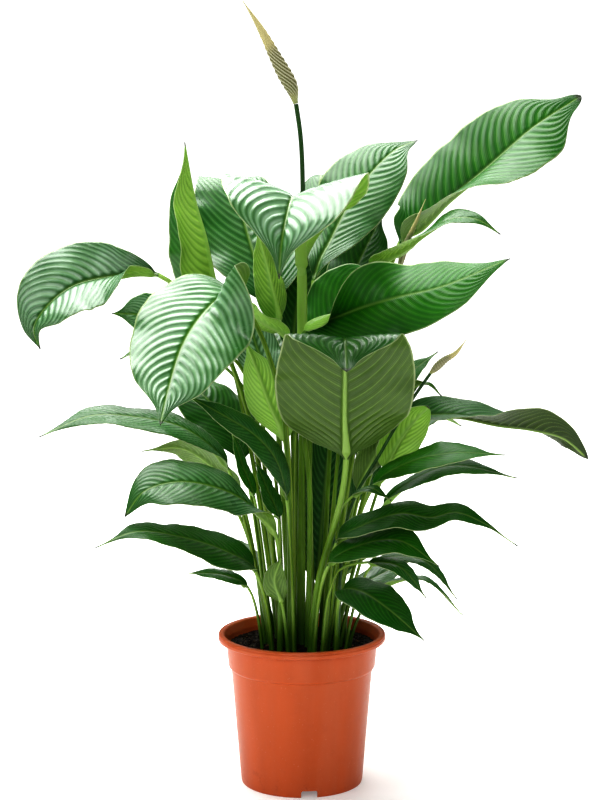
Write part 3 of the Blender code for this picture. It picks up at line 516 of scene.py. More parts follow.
class GeometryTree(Nodes):
    """A tree whose inputs are a geometry and the given labels, each with its kind of socket."""

    def __init__(self, name, inputs):
        super().__init__(bpy.data.node_groups.new(name, "GeometryNodeTree"))
        sockets = self.tree.interface
        for label, kind in {"Geometry": "Geometry", **inputs}.items():
            sockets.new_socket(label, in_out="INPUT", socket_type="NodeSocket" + kind)
        sockets.new_socket("Geometry", in_out="OUTPUT", socket_type="NodeSocketGeometry")
        self.given = self.tree.nodes.new("NodeGroupInput").outputs
        self.shape = self.given["Geometry"]

    def named(self, name, kind="FLOAT"):
        return self.add("GeometryNodeInputNamedAttribute", {"Name": name}, data_type=kind).outputs[0]

    def change(self, kind, **inputs):
        """Passes the shape through a node of that kind."""
        self.shape = self.add(kind, {"Geometry": self.shape, **inputs}).outputs[0]

    def done(self):
        self.tree.links.new(self.shape, self.tree.nodes.new("NodeGroupOutput").inputs[0])
        return self.tree


def rib_tree():
    """Raises ribs on a skin: one between each two veins, which run where the attribute rib is whole."""
    skin = GeometryTree("Ribbed Skin", {
        "Rib Height": "Float", "Sharpness": "Float", "Ripple": "Float", "Upper Face": "Material",
        "Under Face": "Material", "Stalk": "Material"})
    rib = skin.named("rib")
    crown = skin.calc("POWER", skin.arches(rib), skin.given["Sharpness"])
    ripple = skin.calc("SINE", skin.calc("MULTIPLY", rib, 6 * pi))
    height = skin.calc("MULTIPLY_ADD", ripple, skin.given["Ripple"], skin.calc("SUBTRACT", crown, 0.5))
    height = skin.times(height, skin.times(skin.named("ribbing"), skin.given["Rib Height"]))
    skin.change("GeometryNodeSetPosition", Offset=skin.scaled(skin.named("up", "FLOAT_VECTOR"), height))
    for index, label in enumerate(("Upper Face", "Under Face", "Stalk")):
        here = skin.add("FunctionNodeCompare", {2: skin.named("part", "INT"), 3: index}, data_type="INT",
                        operation="EQUAL").outputs[0]
        skin.change("GeometryNodeSetMaterial", Selection=here, Material=skin.given[label])
    return skin.done()


def crumb_tree():
    """Scatters crumbs on a ground: stones of random size and turn, each partly sunk."""
    crumbs = GeometryTree("Crumbs", {
        "Crumbs per Area": "Float", "Smallest": "Float", "Largest": "Float", "Length": "Float", "Seed": "Int",
        "Material": "Material"})
    given = crumbs.given
    seed = given["Seed"]
    spots = crumbs.add("GeometryNodeDistributePointsOnFaces",
                       {"Mesh": crumbs.shape, "Density": given["Crumbs per Area"], "Seed": seed},
                       distribute_method="RANDOM").outputs["Points"]
    crumbs.shape = crumbs.add("GeometryNodeMeshIcoSphere", {"Radius": 0.5, "Subdivisions": 2}).outputs["Mesh"]
    lump = crumbs.add("ShaderNodeTexNoise", {"Scale": 1.7, "Detail": 1.0}).outputs[0]
    normal = crumbs.add("GeometryNodeInputNormal").outputs[0]
    dent = crumbs.scaled(normal, crumbs.calc("MULTIPLY_ADD", lump, 0.7, -0.4))
    crumbs.change("GeometryNodeSetPosition", Offset=dent)
    size = crumbs.add("FunctionNodeRandomValue", {2: given["Smallest"], 3: given["Largest"], "Seed": seed},
                      data_type="FLOAT").outputs[1]
    longer = crumbs.times(size, given["Length"])
    scale = crumbs.add("ShaderNodeCombineXYZ", {0: longer, 1: size, 2: size}).outputs[0]
    turn = crumbs.add("FunctionNodeRandomValue",
                      {0: (-0.5, -0.5, 0.0), 1: (0.5, 0.5, 2 * pi), "Seed": seed},
                      data_type="FLOAT_VECTOR").outputs[0]
    crumbs.shape = crumbs.add("GeometryNodeInstanceOnPoints", {
        "Points": spots, "Instance": crumbs.shape, "Rotation": turn, "Scale": scale}).outputs[0]
    crumbs.change("GeometryNodeRealizeInstances")
    crumbs.change("GeometryNodeSetMaterial", Material=given["Material"])
    return crumbs.done()


def shared_tree(name, make):
    return bpy.data.node_groups.get(name) or make()


def apply_tree(piece, tree, settings):
    """Runs the tree on the piece with these inputs and keeps the result as its plain mesh."""
    ids = {item.name: item.identifier for item in tree.interface.items_tree
           if item.item_type == "SOCKET" and item.in_out == "INPUT"}
    modifier = piece.modifiers.new(tree.name, "NODES")
    modifier.node_group = tree
    for label, value in settings.items():
        modifier[ids[label]] = value
    keep_result(piece)


def keep_result(piece):
    """Turns every modifier of the piece into its mesh."""
    depsgraph = bpy.context.evaluated_depsgraph_get()
    mesh = bpy.data.meshes.new_from_object(piece.evaluated_get(depsgraph), preserve_all_data_layers=True,
                                           depsgraph=depsgraph)
    piece.modifiers.clear()
    old = piece.data
    piece.data = mesh
    bpy.data.meshes.remove(old)


# Materials

def shaded(colour, factor, lift=0.0):
    return tuple(part * factor + lift for part in colour)


class Paint(Nodes):
    """A material whose colour, the skin, is laid on in layers."""

    def __init__(self, name, skin, settings):
        self.material = bpy.data.materials.new(name)
        self.material.use_nodes = True
        super().__init__(self.material.node_tree)
        self.skin = tuple(skin)
        self.set(settings)

    def set(self, settings):
        for label, value in settings.items():
            self.feed(self.tree.nodes["Principled BSDF"].inputs[label], value)

    def let_light_in(self, weight, light):
        self.set({"Subsurface Weight": weight, "Subsurface Radius": light[0], "Subsurface Scale": light[1]})

    def attribute(self, name):
        return self.add("ShaderNodeAttribute", attribute_name=name).outputs["Fac"]

    def place(self):
        return self.add("ShaderNodeTexCoord").outputs["Object"]

    def height(self):
        return self.add("ShaderNodeSeparateXYZ", {0: self.place()}).outputs[2]

    def clouds(self, scale, detail=3.0, roughness=0.5, stretch=(1, 1, 1), low=0.3, high=0.7):
        """Soft random patches from 0 to 1, with scale of them to a metre."""
        where = self.add("ShaderNodeMapping", {"Vector": self.place(), "Scale": stretch}).outputs[0]
        found = self.add("ShaderNodeTexNoise", {"Vector": where, "Scale": scale, "Detail": detail,
                                                "Roughness": roughness}).outputs[0]
        return self.step(found, low, high)

    def mix(self, share, a, b, way="MIX"):
        """Colour a where share is 0, and b where it is 1."""
        a, b = (part if isinstance(part, bpy.types.NodeSocket) else (*part, 1.0) for part in (a, b))
        return self.add("ShaderNodeMix", {0: share, 6: a, 7: b}, data_type="RGBA", blend_type=way).outputs[2]

    def tinted(self, factors):
        """The skin so far, with its red, green and blue multiplied by these."""
        return self.mix(1.0, self.skin, factors, "MULTIPLY")

    def lay(self, colour, *shares):
        """Lays a colour over the skin, as strongly as the product of the shares says."""
        self.skin = self.mix(self.times(*shares), self.skin, colour)

    def lines(self, half_width, value=None):
        """1 along the veins, or where value is a whole number, falling to 0 at half_width on either side."""
        value = self.attribute("rib") if value is None else value
        share = self.calc("FRACT", self.calc("ADD", value, 0.5))
        return self.step(self.calc("ABSOLUTE", self.calc("SUBTRACT", share, 0.5)), 0.0, half_width, 1.0, 0.0)

    def fine_veins(self):
        """The thin parallel veins, several to each rib, broken up by soft patches."""
        lines = self.lines(0.3, self.calc("MULTIPLY", self.attribute("rib"), FINE_VEINS))
        return self.times(lines, self.clouds(45, low=0.2, high=0.8))

    def painted_sheen_bands(self):
        """Where painted sheen goes: 1 along each vein, falling slowly to 0 half-way to the next."""
        turn = self.calc("MULTIPLY", self.attribute("rib"), 2 * pi)
        return self.calc("MULTIPLY_ADD", self.calc("COSINE", turn), 0.5, 0.5)

    def lay_margin_and_tip(self, margin, margin_start, strength):
        """The thin pale edge of a blade, and its dried brown tip."""
        across = self.calc("ABSOLUTE", self.attribute("across"))
        self.lay(margin, self.step(across, margin_start, 0.995), strength)
        self.lay(BROWN_TIP, self.step(self.attribute("along"), 0.965, 0.99), 0.9)

    def done(self, height=None, strength=0.0, distance=0.0):
        """The material with its skin, and with a bump of that height where there is one."""
        self.set({"Base Color": self.skin})
        if height is not None:
            bump = self.add("ShaderNodeBump", {"Height": height, "Strength": strength, "Distance": distance})
            self.set({"Normal": bump.outputs[0]})
        return self.material


def upper_face_material(looks):
    """Waxy upper face: painted sheen lighter along the veins and darker between them, a painted whitish sheen
    along the veins of glossy leaves, and a thin pale margin.
    """
    face = Paint("leaf_upper_face", looks.old_top, {"Coat Roughness": 0.2, "Specular IOR Level": 0.3})
    face.let_light_in(0.05, LEAF_LIGHT)
    ribbing = face.attribute("ribbing")
    gloss = face.attribute("gloss")
    bands = face.painted_sheen_bands()
    face.lay(looks.young_top, face.attribute("age"))
    face.lay(face.tinted(UPPER_PATCH_TINT), face.clouds(26, detail=4, low=0.25, high=0.75), 0.45)
    # Painted sheen: lighter along the veins, darker between them
    face.lay(face.tinted(PAINTED_VEIN_SHEEN_TINT), bands, ribbing, 0.8)
    # Painted sheen: a whitish colour along the veins, stronger on the glossier leaves
    face.lay(looks.painted_sheen, face.step(gloss, 0.3, 1.0), ribbing, face.step(bands, 0.0, 1.0, 0.3, 1.0),
             face.step(face.clouds(38, stretch=(1, 1, 0.5)), 0.0, 1.0, 0.35, 0.65))
    face.lay(looks.vein, face.fine_veins(), 0.16)
    face.lay(looks.vein, face.lines(0.13), ribbing, 0.16)
    face.lay(looks.vein, face.attribute("midrib"), 0.35)
    face.lay_margin_and_tip(looks.margin, 0.955, 0.55)
    satin = face.calc("MULTIPLY_ADD", face.clouds(60, high=0.8), 0.1, face.step(gloss, 0.0, 1.0, 0.4, 0.2))
    face.set({"Roughness": satin, "Coat Weight": face.step(gloss, 0.0, 1.0, 0.03, 0.5)})
    grain = face.clouds(900, detail=2, low=0.2, high=0.8)
    return face.done(face.calc("MULTIPLY_ADD", face.fine_veins(), 0.7, face.times(grain, 0.3)), 0.35, 0.0004)


def under_face_material(looks):
    """Duller under face: olive to lime, with painted sheen along the veins and painted shade beside them,
    raised light veins and a strong pale midrib.
    """
    face = Paint("leaf_under_face", looks.old_under,
                 {"Roughness": 0.45, "Coat Weight": 0.05, "Coat Roughness": 0.3})
    face.let_light_in(0.06, LEAF_LIGHT)
    ribbing = face.attribute("ribbing")
    age = face.attribute("age")
    face.lay(looks.young_under, age)
    darker = face.tinted(UNDER_PATCH_AND_SHADE_TINT)
    face.lay(darker, face.clouds(30, detail=4, low=0.25, high=0.75), 0.5)
    # Painted sheen: lighter along the veins of the under face
    face.lay(face.tinted(PAINTED_VEIN_SHEEN_TINT), face.painted_sheen_bands(), ribbing, face.step(age, 0.0, 0.8, 0.2, 0.6))
    # Painted shade: a dark line beside each raised vein
    face.lay(darker, face.lines(0.16, face.calc("ADD", face.attribute("rib"), 0.13)), ribbing, 0.3)
    face.lay(looks.vein, face.fine_veins(), 0.22)
    face.lay(looks.vein, face.lines(0.11), ribbing, face.step(age, 0.0, 0.8, 0.3, 0.65))
    face.lay(looks.vein, face.attribute("midrib"), 0.85)
    face.lay_margin_and_tip(looks.margin, 0.965, 0.6)
    grain = face.clouds(700, detail=2, low=0.2, high=0.8)
    return face.done(face.calc("MULTIPLY_ADD", face.lines(0.1), 1.0, face.times(grain, 0.25)), 0.4, 0.0005)


def stalk_material(name, flesh, knee_colour, foot_colour):
    """A fleshy stalk: streaked lengthwise, with a painted highlight along both sides, darker at the soil, and
    pale at the knee under the blade.
    """
    stalk = Paint(name, flesh, {"Roughness": 0.42, "Coat Weight": 0.05, "Coat Roughness": 0.25,
                                "Specular IOR Level": 0.3})
    stalk.let_light_in(0.1, LEAF_LIGHT)
    streaks = stalk.clouds(420, stretch=(1, 1, 0.035), low=0.35, high=0.68)
    stalk.lay(shaded(flesh, 1.7, 0.02), streaks, 0.6)
    stalk.lay(shaded(flesh, 0.55), stalk.clouds(14, low=0.35, high=0.75), 0.5)
    # Painted highlight: pale along both sides of the stalk
    stalk.lay(STALK_EDGE_HIGHLIGHT, stalk.step(stalk.calc("ABSOLUTE", stalk.attribute("across")), 0.9, 1.0), 0.6)
    stalk.lay(knee_colour, stalk.attribute("knee"), 0.8)
    foot = stalk.step(stalk.height(), SOIL_Z * MM, (SOIL_Z + STALK_FOOT_HEIGHT) * MM, 1.0, 0.0)
    stalk.lay(foot_colour, foot, 0.75)
    return stalk.done(streaks, 0.25, 0.0004)


def spathe_material(looks):
    """The furled spathe: a cream tip and margins over a grey-olive body with whitish diagonal ribs."""
    spathe = Paint("cream_spathe", looks.cream, {"Roughness": 0.5, "Specular IOR Level": 0.2})
    along = spathe.attribute("along")
    body = spathe.times(spathe.step(along, 0.02, 0.12), spathe.step(along, 0.46, 0.58, 1.0, 0.0))
    crests = spathe.step(spathe.arches(spathe.attribute("rib")), 0.55, 0.98)
    spathe.lay(looks.shade, body, 0.8)
    spathe.lay(SPATHE_RIB, crests, body, 0.7)
    spathe.lay(SPATHE_SEAM, spathe.step(spathe.attribute("seam"), 0.82, 1.0), 0.75)
    spathe.lay(SPATHE_FOOT, spathe.step(along, 0.0, 0.1, 1.0, 0.0), 0.6)
    spathe.lay(SPATHE_TIP, spathe.step(along, 0.93, 1.0), 0.35)
    return spathe.done(spathe.times(crests, body), 0.3, 0.0004)


def plastic_material(looks):
    """Moulded plastic: faint flow marks down the wall, painted sheen in pale vertical bands, dust in the
    corners, and small scuffs.
    """
    wall = Paint("clay_red_plastic", looks.plastic, {"Specular IOR Level": 0.2})
    wall.let_light_in(0.05, PLASTIC_LIGHT)
    mottle = wall.clouds(160, detail=5, roughness=0.6, low=0.45, high=0.75)
    wall.lay(shaded(looks.plastic, 0.8), wall.clouds(34, stretch=(1, 1, 0.16), high=0.72), 0.6)
    # Painted sheen: pale vertical bands where glossy plastic would mirror the softboxes
    wall.lay(SHEEN_AND_MOTTLE_PLASTIC, wall.clouds(42, detail=2, stretch=(1, 1, 0.05), low=0.45), 0.35)
    wall.lay(SHEEN_AND_MOTTLE_PLASTIC, mottle, 0.12)
    wall.lay(SCUFF, wall.clouds(520, detail=1, low=0.71, high=0.76), 0.2)
    wall.lay(GRIME, wall.clouds(75, detail=5, roughness=0.65, low=0.56, high=0.72),
             wall.step(wall.height(), 0.0, 0.035, 1.0, 0.15), 0.4)
    wall.set({"Roughness": wall.step(mottle, 0.0, 1.0, looks.roughness, looks.roughness + 0.12)})
    waves = wall.clouds(22, detail=2, stretch=(1, 1, 0.3), low=0.2, high=0.8)
    pores = wall.clouds(1400, detail=1, high=0.8)
    return wall.done(wall.calc("MULTIPLY_ADD", waves, 1.0, wall.times(pores, 0.05)), 0.22, 0.0011)


def soil_material(name, ground, bark):
    """Moist dark soil: brown crumbs over near-black painted shade for the hollows between them, and a few
    fibres.
    """
    # The first colour, near-black, is painted shade of the hollows, left showing between the brown patches
    earth = Paint(name, shaded(ground, 0.45), {"Specular IOR Level": 0.15})
    earth.lay(ground, earth.clouds(210, detail=6, roughness=0.7, low=0.35))
    earth.lay(bark, earth.clouds(700, detail=2, low=0.6, high=0.68), 0.55)
    earth.lay(PALE_BIT, earth.clouds(480, detail=0, low=0.745, high=0.77), 0.6)
    earth.set({"Roughness": earth.step(earth.clouds(90, low=0.4), 0.0, 1.0, 0.62, 0.95)})
    return earth.done(earth.clouds(1100, detail=4, roughness=0.7, low=0.1, high=0.9), 0.8, 0.0012)


def floor_material(looks):
    floor = Paint("pale_floor", looks.floor, {"Roughness": 0.7, "Emission Color": (1.0, 1.0, 1.0, 1.0)})
    floor.lay(shaded(looks.floor, 0.985), floor.clouds(1.6, detail=2), 0.3)
    away = floor.add("ShaderNodeVectorMath", {0: floor.place()}, operation="LENGTH").outputs["Value"]
    seen = floor.add("ShaderNodeLightPath").outputs["Is Camera Ray"]
    floor.set({"Emission Strength": floor.times(floor.step(away, *FLOOR_GLOW, 0.0, 0.9),
                                                floor.step(seen, 0.0, 1.0, GLOW_SHARE, 1.0))})
    return floor.done()


# Paths and skins

def smooth_path(points):
    """A centripetal curve through the points, as closely spaced positions, and the index of each point."""
    given = np.array([tuple(point) for point in points], float)
    guides = np.vstack([2 * given[0] - given[1], given, 2 * given[-1] - given[-2]])
    path = [given[:1]]
    for a, b, c, d in zip(guides, guides[1:], guides[2:], guides[3:]):
        t1 = np.linalg.norm(b - a) ** 0.5
        t2 = t1 + np.linalg.norm(c - b) ** 0.5
        t3 = t2 + np.linalg.norm(d - c) ** 0.5
        t = np.linspace(t1, t2, PATH_STEPS + 1)[1:, None]
        ab = a + (b - a) * t / t1
        bc = b + (c - b) * (t - t1) / (t2 - t1)
        cd = c + (d - c) * (t - t2) / (t3 - t2)
        abc = ab + (bc - ab) * t / t2
        bcd = bc + (cd - bc) * (t - t1) / (t3 - t1)
        path.append(abc + (bcd - abc) * (t - t1) / (t2 - t1))
    return np.vstack(path), [PATH_STEPS * index for index in range(len(given))]


def travelled(path):
    steps = np.linalg.norm(np.diff(path, axis=0), axis=1)
    return np.concatenate([[0.0], np.cumsum(steps)])


def unit(vectors):
    return vectors / np.linalg.norm(vectors, axis=1, keepdims=True)


def stations(path, fractions):
    """Positions and unit headings at fractions of the path's length."""
    lengths = travelled(path)
    wanted = np.asarray(fractions) * lengths[-1]
    slopes = np.gradient(path, lengths, axis=0)
    places, headings = (np.stack([np.interp(wanted, lengths, along[:, axis]) for axis in range(3)], axis=1)
                        for along in (path, slopes))
    return places, unit(headings)


def smoothstep(value, low, high):
    share = np.clip((np.asarray(value, float) - low) / (high - low), 0, 1)
    return share * share * (3 - 2 * share)


def ring_angles(sides):
    """Evenly spaced angles of a ring's points: the first half above the side direction, the rest below."""
    return pi - 2 * pi * (np.arange(sides) + 0.5) / sides


def rings_at(places, side, normal, x, y):
    """A ring round each place: its points lie x along the side direction and y along the normal."""
    return places[:, None, :] + side[:, None, :] * x[..., None] + normal[:, None, :] * y[..., None]


def round_axes(headings):
    """Side and normal directions for a round skin, square to its headings."""
    side = unit(np.cross(np.array((0.0, 1.0, 0.0)), headings))
    return side, np.cross(side, headings)


def soil_points(root):
    """The foot of a stalk in its hole, and the point where it leaves the soil."""
    return [(root.x, root.y, z) for z in (SOIL_Z - HOLE_DEPTH + SEAT_GAP, SOIL_Z + SOIL_CROWN + STALK_RISE)]


def new_object(name, data):
    made = bpy.data.objects.new(name, data)
    bpy.context.scene.collection.objects.link(made)
    return made


def mesh_of(name, shape):
    """The edited shape as a mesh."""
    mesh = bpy.data.meshes.new(name)
    shape.to_mesh(mesh)
    shape.free()
    return mesh


def skin_object(name, rings, parts, attributes):
    """A closed skin over rings of points in mm. parts numbers its faces, and attributes go to its points."""
    rows, size = rings.shape[:2]
    start = np.arange(rows - 1)[:, None] * size
    column = np.arange(size)[None, :]
    a = start + column
    b = start + (column + 1) % size
    faces = np.stack([a, b, b + size, a + size], axis=-1).reshape(-1, 4).tolist()
    faces.append(list(range(size - 1, -1, -1)))
    faces.append(list(range((rows - 1) * size, rows * size)))
    mesh = bpy.data.meshes.new(name)
    mesh.from_pydata((rings.reshape(-1, 3) * MM).tolist(), [], faces)
    mesh.shade_smooth()
    ends = [parts[0, 0], parts[-1, 0]]
    numbers = mesh.attributes.new("part", "INT", "FACE")
    numbers.data.foreach_set("value", np.concatenate([parts.reshape(-1), ends]).astype(np.int32))
    for label, values in attributes.items():
        kind, field = ("FLOAT_VECTOR", "vector") if values.ndim == 3 else ("FLOAT", "value")
        made = mesh.attributes.new(label, kind, "POINT")
        made.data.foreach_set(field, values.reshape(-1).astype(np.float32))
    return new_object(name, mesh)


def finish_piece(piece, slot, *nodes):
    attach(piece, BODY)
    if nodes:
        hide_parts(*nodes)


# Leaves

def stalk_radii(width):
    top = STALK_TOP_BASE + STALK_TOP_PER_WIDTH * width
    return top * STALK_SPREAD, top


def rib_spacing(width):
    return RIB_SPACING_BASE + RIB_SPACING_PER_WIDTH * width


def settle_roots():
    """Moves the roots apart until each has room for its own stalk, the way shoots crowd in a pot."""
    spots = [Vector(one.root) for one in (*LEAVES, *FLOWERS)]
    radii = [stalk_radii(one.width)[0] for one in LEAVES]
    radii += [one.stalk_radius * FLOWER_ROOT_ROOM for one in FLOWERS]
    for _ in range(ROOT_ROUNDS):
        for i, first in enumerate(spots):
            for j in range(i + 1, len(spots)):
                apart = spots[j] - first
                short = radii[i] + radii[j] + ROOT_GAP - apart.length
                if short > 0:
                    push = apart.normalized() * short * 0.5
                    first -= push
                    spots[j] += push
    return spots[:len(LEAVES)], spots[len(LEAVES):]


def blade_half_width(one, u):
    """Half the blade's width: the margins meet in a point at both ends and are widest at the belly."""
    swell = one.power * one.belly
    taper = one.power - swell
    full = one.belly ** swell * (1 - one.belly) ** taper
    drawn_in = 1 - one.drip * smoothstep(u, DRIP_START, DRIP_END)
    return 0.5 * one.width * u ** swell * (1 - u) ** taper / full * drawn_in


def half_bend(one, u, side):
    """Where half a blade starts from at the midrib and how far it bends to its margin, in radians."""
    closed = 1 - smoothstep(u, OPENING_START * one.opens, one.opens)
    channel = BASE_CHANNEL * np.maximum(0.0, 1 - u / CHANNEL_LENGTH) ** 2
    lift = np.minimum(one.fold + channel + one.cup[side] * closed, MOST_LIFT)
    return np.radians(lift), np.radians(MARGIN_BEND + NEVER_FLAT + one.curl[side] * closed)


def leaf_axes(one, headings, u):
    """The blade's side and upward directions across its midrib, at each station."""
    if one.face is None:
        first, last = one.blade[0], one.blade[-1]
        along = Vector((last[0] - first[0], last[1] - first[1])).normalized()
    else:
        along = Vector((cos(radians(one.face)), sin(radians(one.face))))
    level = np.array((along.y, -along.x, 0.0))
    side = unit(level - headings * (headings @ level)[:, None])
    normal = np.cross(side, headings)
    turn = one.roll + one.twist * u + one.base_turn * (1 - smoothstep(u, 0.0, BASE_TURN_REACH))
    turn = np.radians(turn)[:, None]
    return side * np.cos(turn) - normal * np.sin(turn), normal * np.cos(turn) + side * np.sin(turn)


def column_places(one, column_width):
    """Places across the blade from -1 to 1, closer together near the midrib."""
    half = max(LEAST_HALF_COLUMNS, round(0.5 * one.width / (column_width / MM)))
    right = np.linspace(0, 1, half + 1)[1:] ** COLUMN_CROWDING
    return np.concatenate([-right[::-1], [0.0], right])


def blade_section(one, u, across, thin, length, phase):
    """The blade in its own section plane: both faces as (sideways, upwards), and the way out of the upper.

    Each half is an arc from the midrib to its margin. It also says where the ribs and the midrib run.
    """
    u = u[:, None]
    w = np.abs(across)[None, :]
    hand = np.where(across < 0, -1.0, 1.0)[None, :]
    narrow = 1 - smoothstep(one.width, *VEIN_ANGLE_WIDTHS)
    angle = VEIN_ANGLE + (NARROW_VEIN_ANGLE - VEIN_ANGLE) * narrow
    sweep = 0.5 * one.width / length / tan(radians(angle))
    ribs = length / rib_spacing(one.width)
    swept = (1 - VEIN_CURVE) * w + VEIN_CURVE * w * w
    rib = ribs * (u - sweep * swept) + np.where(across < 0, RIB_SIDE_OFFSET, 0.0)[None, :]
    winged_stalk = WING * thin * (1 - u / WING_LENGTH)
    half = np.maximum(blade_half_width(one, u), np.maximum(winged_stalk, TIP_HALF_WIDTH))
    left, right = half_bend(one, u, 0), half_bend(one, u, 1)
    lift = np.where(hand < 0, left[0], right[0])
    bend = np.where(hand < 0, left[1], right[1])
    facing = lift + bend * w
    out = np.stack([-hand * np.sin(facing), np.cos(facing)], axis=-1)
    x = hand * half * (np.sin(facing) - np.sin(lift)) / bend
    y = half * (np.cos(lift) - np.cos(facing)) / bend
    reach = np.sin(pi * u) * w ** 2 * one.width
    turn = 2 * pi * WAVES * u + np.where(across > 0, 0.0, WAVE_OFFSET)[None, :]
    wave = WAVE * np.sin(turn)
    for share, waves in FINE_WAVES:
        wave = wave + share * np.sin(2 * pi * waves * u + (1 + hand) * waves + phase * waves)
    upper = np.stack([x, y], axis=-1) + out * (reach * wave)[..., None]
    away = half * w
    keel_width = thin * (KEEL_WIDTH - KEEL_NARROWING * u) + LEAST_KEEL_WIDTH
    hill = np.exp(-(away / keel_width) ** 2)
    upper = upper - out * (MIDRIB_GROOVE * thin * (1 - u) * hill)[..., None]
    body = MARGIN_THICKNESS + (BLADE_THICKNESS - MARGIN_THICKNESS) * (1 - w ** 3)
    depth = body + ((KEEL + thin) * (1 - u) + LEAST_KEEL_DEPTH) * hill
    ribbing = smoothstep(away, RIBS_BESIDE_KEEL[0] * keel_width, RIBS_BESIDE_KEEL[1] * keel_width)
    ribbing = ribbing * (1 - RIBS_FADE_AT_MARGIN * w ** 4)
    ribbing = ribbing * smoothstep(u, *RIBS_START) * smoothstep(1 - u, *RIBS_END)
    midrib = np.exp(-(away / (0.6 * keel_width + 0.2)) ** 2)
    return upper, upper - out * depth[..., None], out, rib, ribbing, midrib


def leaf_piece(one, root, looks, phase):
    """One leaf: a channelled stalk that widens at the knee into a folded, waved blade on a keeled midrib."""
    path, marks = smooth_path([*soil_points(root), *one.stem, *one.blade])
    knee = marks[2 + len(one.stem)]
    stalk, blade = path[:knee + 1], path[knee:]
    stalk_length, blade_length = travelled(stalk)[-1], travelled(blade)[-1]
    thick, thin = stalk_radii(one.width)
    stalk_rows = max(LEAST_STALK_ROWS, round(stalk_length / STALK_ROW))
    blade_rows = max(LEAST_BLADE_ROWS, round(blade_length / (looks.row / MM)))
    climbed = np.linspace(0, 1, stalk_rows, endpoint=False)
    down = 1 - climbed
    even = np.linspace(0, 1, blade_rows + 1)
    u_blade = (1 - ROW_CROWDING) * even + ROW_CROWDING * 0.5 * (1 - np.cos(pi * even))
    ends = stations(stalk, climbed), stations(blade, u_blade)
    places, headings = (np.vstack(pair) for pair in zip(*ends))
    u = np.concatenate([np.zeros(stalk_rows), u_blade])
    side, normal = leaf_axes(one, headings, u)

    across = column_places(one, looks.column)
    columns = len(across)
    size = 2 * columns
    angle = ring_angles(size)
    radius = np.concatenate([thin + (thick - thin) * down ** STALK_TAPER, np.full(blade_rows + 1, thin)])
    away = np.concatenate([stalk_length * down, -blade_length * u_blade])
    knee_length, knee_swell = one.knee
    swollen = 1 - smoothstep(away, KNEE_FADE[0] * knee_length, KNEE_FADE[1] * knee_length)
    swollen = smoothstep(away, *KNEE_PAST_BLADE) * swollen
    radius = radius * (1 + knee_swell * swollen)
    groove = STALK_CHANNEL * np.exp(-(np.cos(angle) / STALK_CHANNEL_WIDTH) ** 2) * (np.sin(angle) > 0)
    x = radius[:, None] * np.cos(angle)[None, :]
    y = radius[:, None] * (np.sin(angle) * (1 - groove))[None, :]

    upper, lower, out, rib, ribbing, midrib = blade_section(one, u_blade, across, thin, blade_length, phase)
    grown = smoothstep(u_blade, 0.0, BLADE_BLEND)[:, None]
    faces = np.concatenate([upper, lower[:, ::-1]], axis=1)
    x[stalk_rows:] = x[stalk_rows:] * (1 - grown) + faces[..., 0] * grown
    y[stalk_rows:] = y[stalk_rows:] * (1 - grown) + faces[..., 1] * grown

    rows = len(u)
    full = {label: np.zeros((rows, size)) for label in ("rib", "ribbing", "midrib", "age")}
    full["gloss"] = np.full((rows, size), one.gloss)
    full["along"] = np.repeat(u[:, None], size, axis=1)
    full["knee"] = np.repeat(swollen[:, None], size, axis=1)
    full["across"] = np.repeat(np.cos(angle)[None, :], rows, axis=0)
    full["across"][stalk_rows:] = np.concatenate([across, across[::-1]])[None, :]
    full["age"][:, :columns], full["age"][:, columns:] = one.ages
    calm = LEAST_RIBBING + (1 - LEAST_RIBBING) * one.gloss
    both_faces = {"rib": (rib, rib), "ribbing": (ribbing * calm, ribbing), "midrib": (midrib, midrib)}
    for label, (top, bottom) in both_faces.items():
        full[label][stalk_rows:] = np.hstack([top, bottom[:, ::-1]])
    out = np.concatenate([out, out[:, ::-1]], axis=1)
    full["up"] = np.repeat(normal[:, None, :], size, axis=1)
    full["up"][stalk_rows:] = (side[stalk_rows:, None, :] * out[..., :1]
                               + normal[stalk_rows:, None, :] * out[..., 1:])
    parts = np.full((rows - 1, size), 2)
    parts[stalk_rows:, :columns] = 0
    parts[stalk_rows:, columns - 1:] = 1
    return skin_object(one.name + "_fine", rings_at(places, side, normal, x, y), parts, full)


# Flowers

def flower_stalk(one, root):
    """A round stalk from the soil to the foot of the closed flower."""
    first, second = (np.array(point, float) for point in one.bud[:2])
    heading = (second - first) / np.linalg.norm(second - first)
    path, _ = smooth_path([*soil_points(root), *one.stalk, tuple(first - heading * STALK_TO_BUD_GAP)])
    rows = round(travelled(path)[-1] / FLOWER_STALK_ROW)
    places, headings = stations(path, np.linspace(0, 1, rows))
    side, normal = round_axes(headings)
    angle = ring_angles(FLOWER_STALK_SIDES)
    facet = one.stalk_radius * (1 + FLOWER_STALK_CORNERS * np.cos(3 * angle))[None, :]
    rings = rings_at(places, side, normal, facet * np.cos(angle), facet * np.sin(angle))
    attributes = {label: np.zeros(rings.shape[:2]) for label in ("across", "knee", "rib", "ribbing")}
    attributes["up"] = np.repeat(normal[:, None, :], FLOWER_STALK_SIDES, axis=1)
    parts = np.full((rows - 1, FLOWER_STALK_SIDES), 2)
    return skin_object(one.name + "_stalk_fine", rings, parts, attributes)


def bud_radius(one, u):
    """The closed flower swells soon after its base and draws out into a long point."""
    collar = one.stalk_radius * BUD_COLLAR
    swell = collar + (one.radius - collar) * (1 - np.exp(-((u / BUD_SWELL_LENGTH) ** BUD_SWELL_POWER)))
    return np.maximum(BUD_TIP_RADIUS, swell * (1 - u ** BUD_TAPER_POWER))


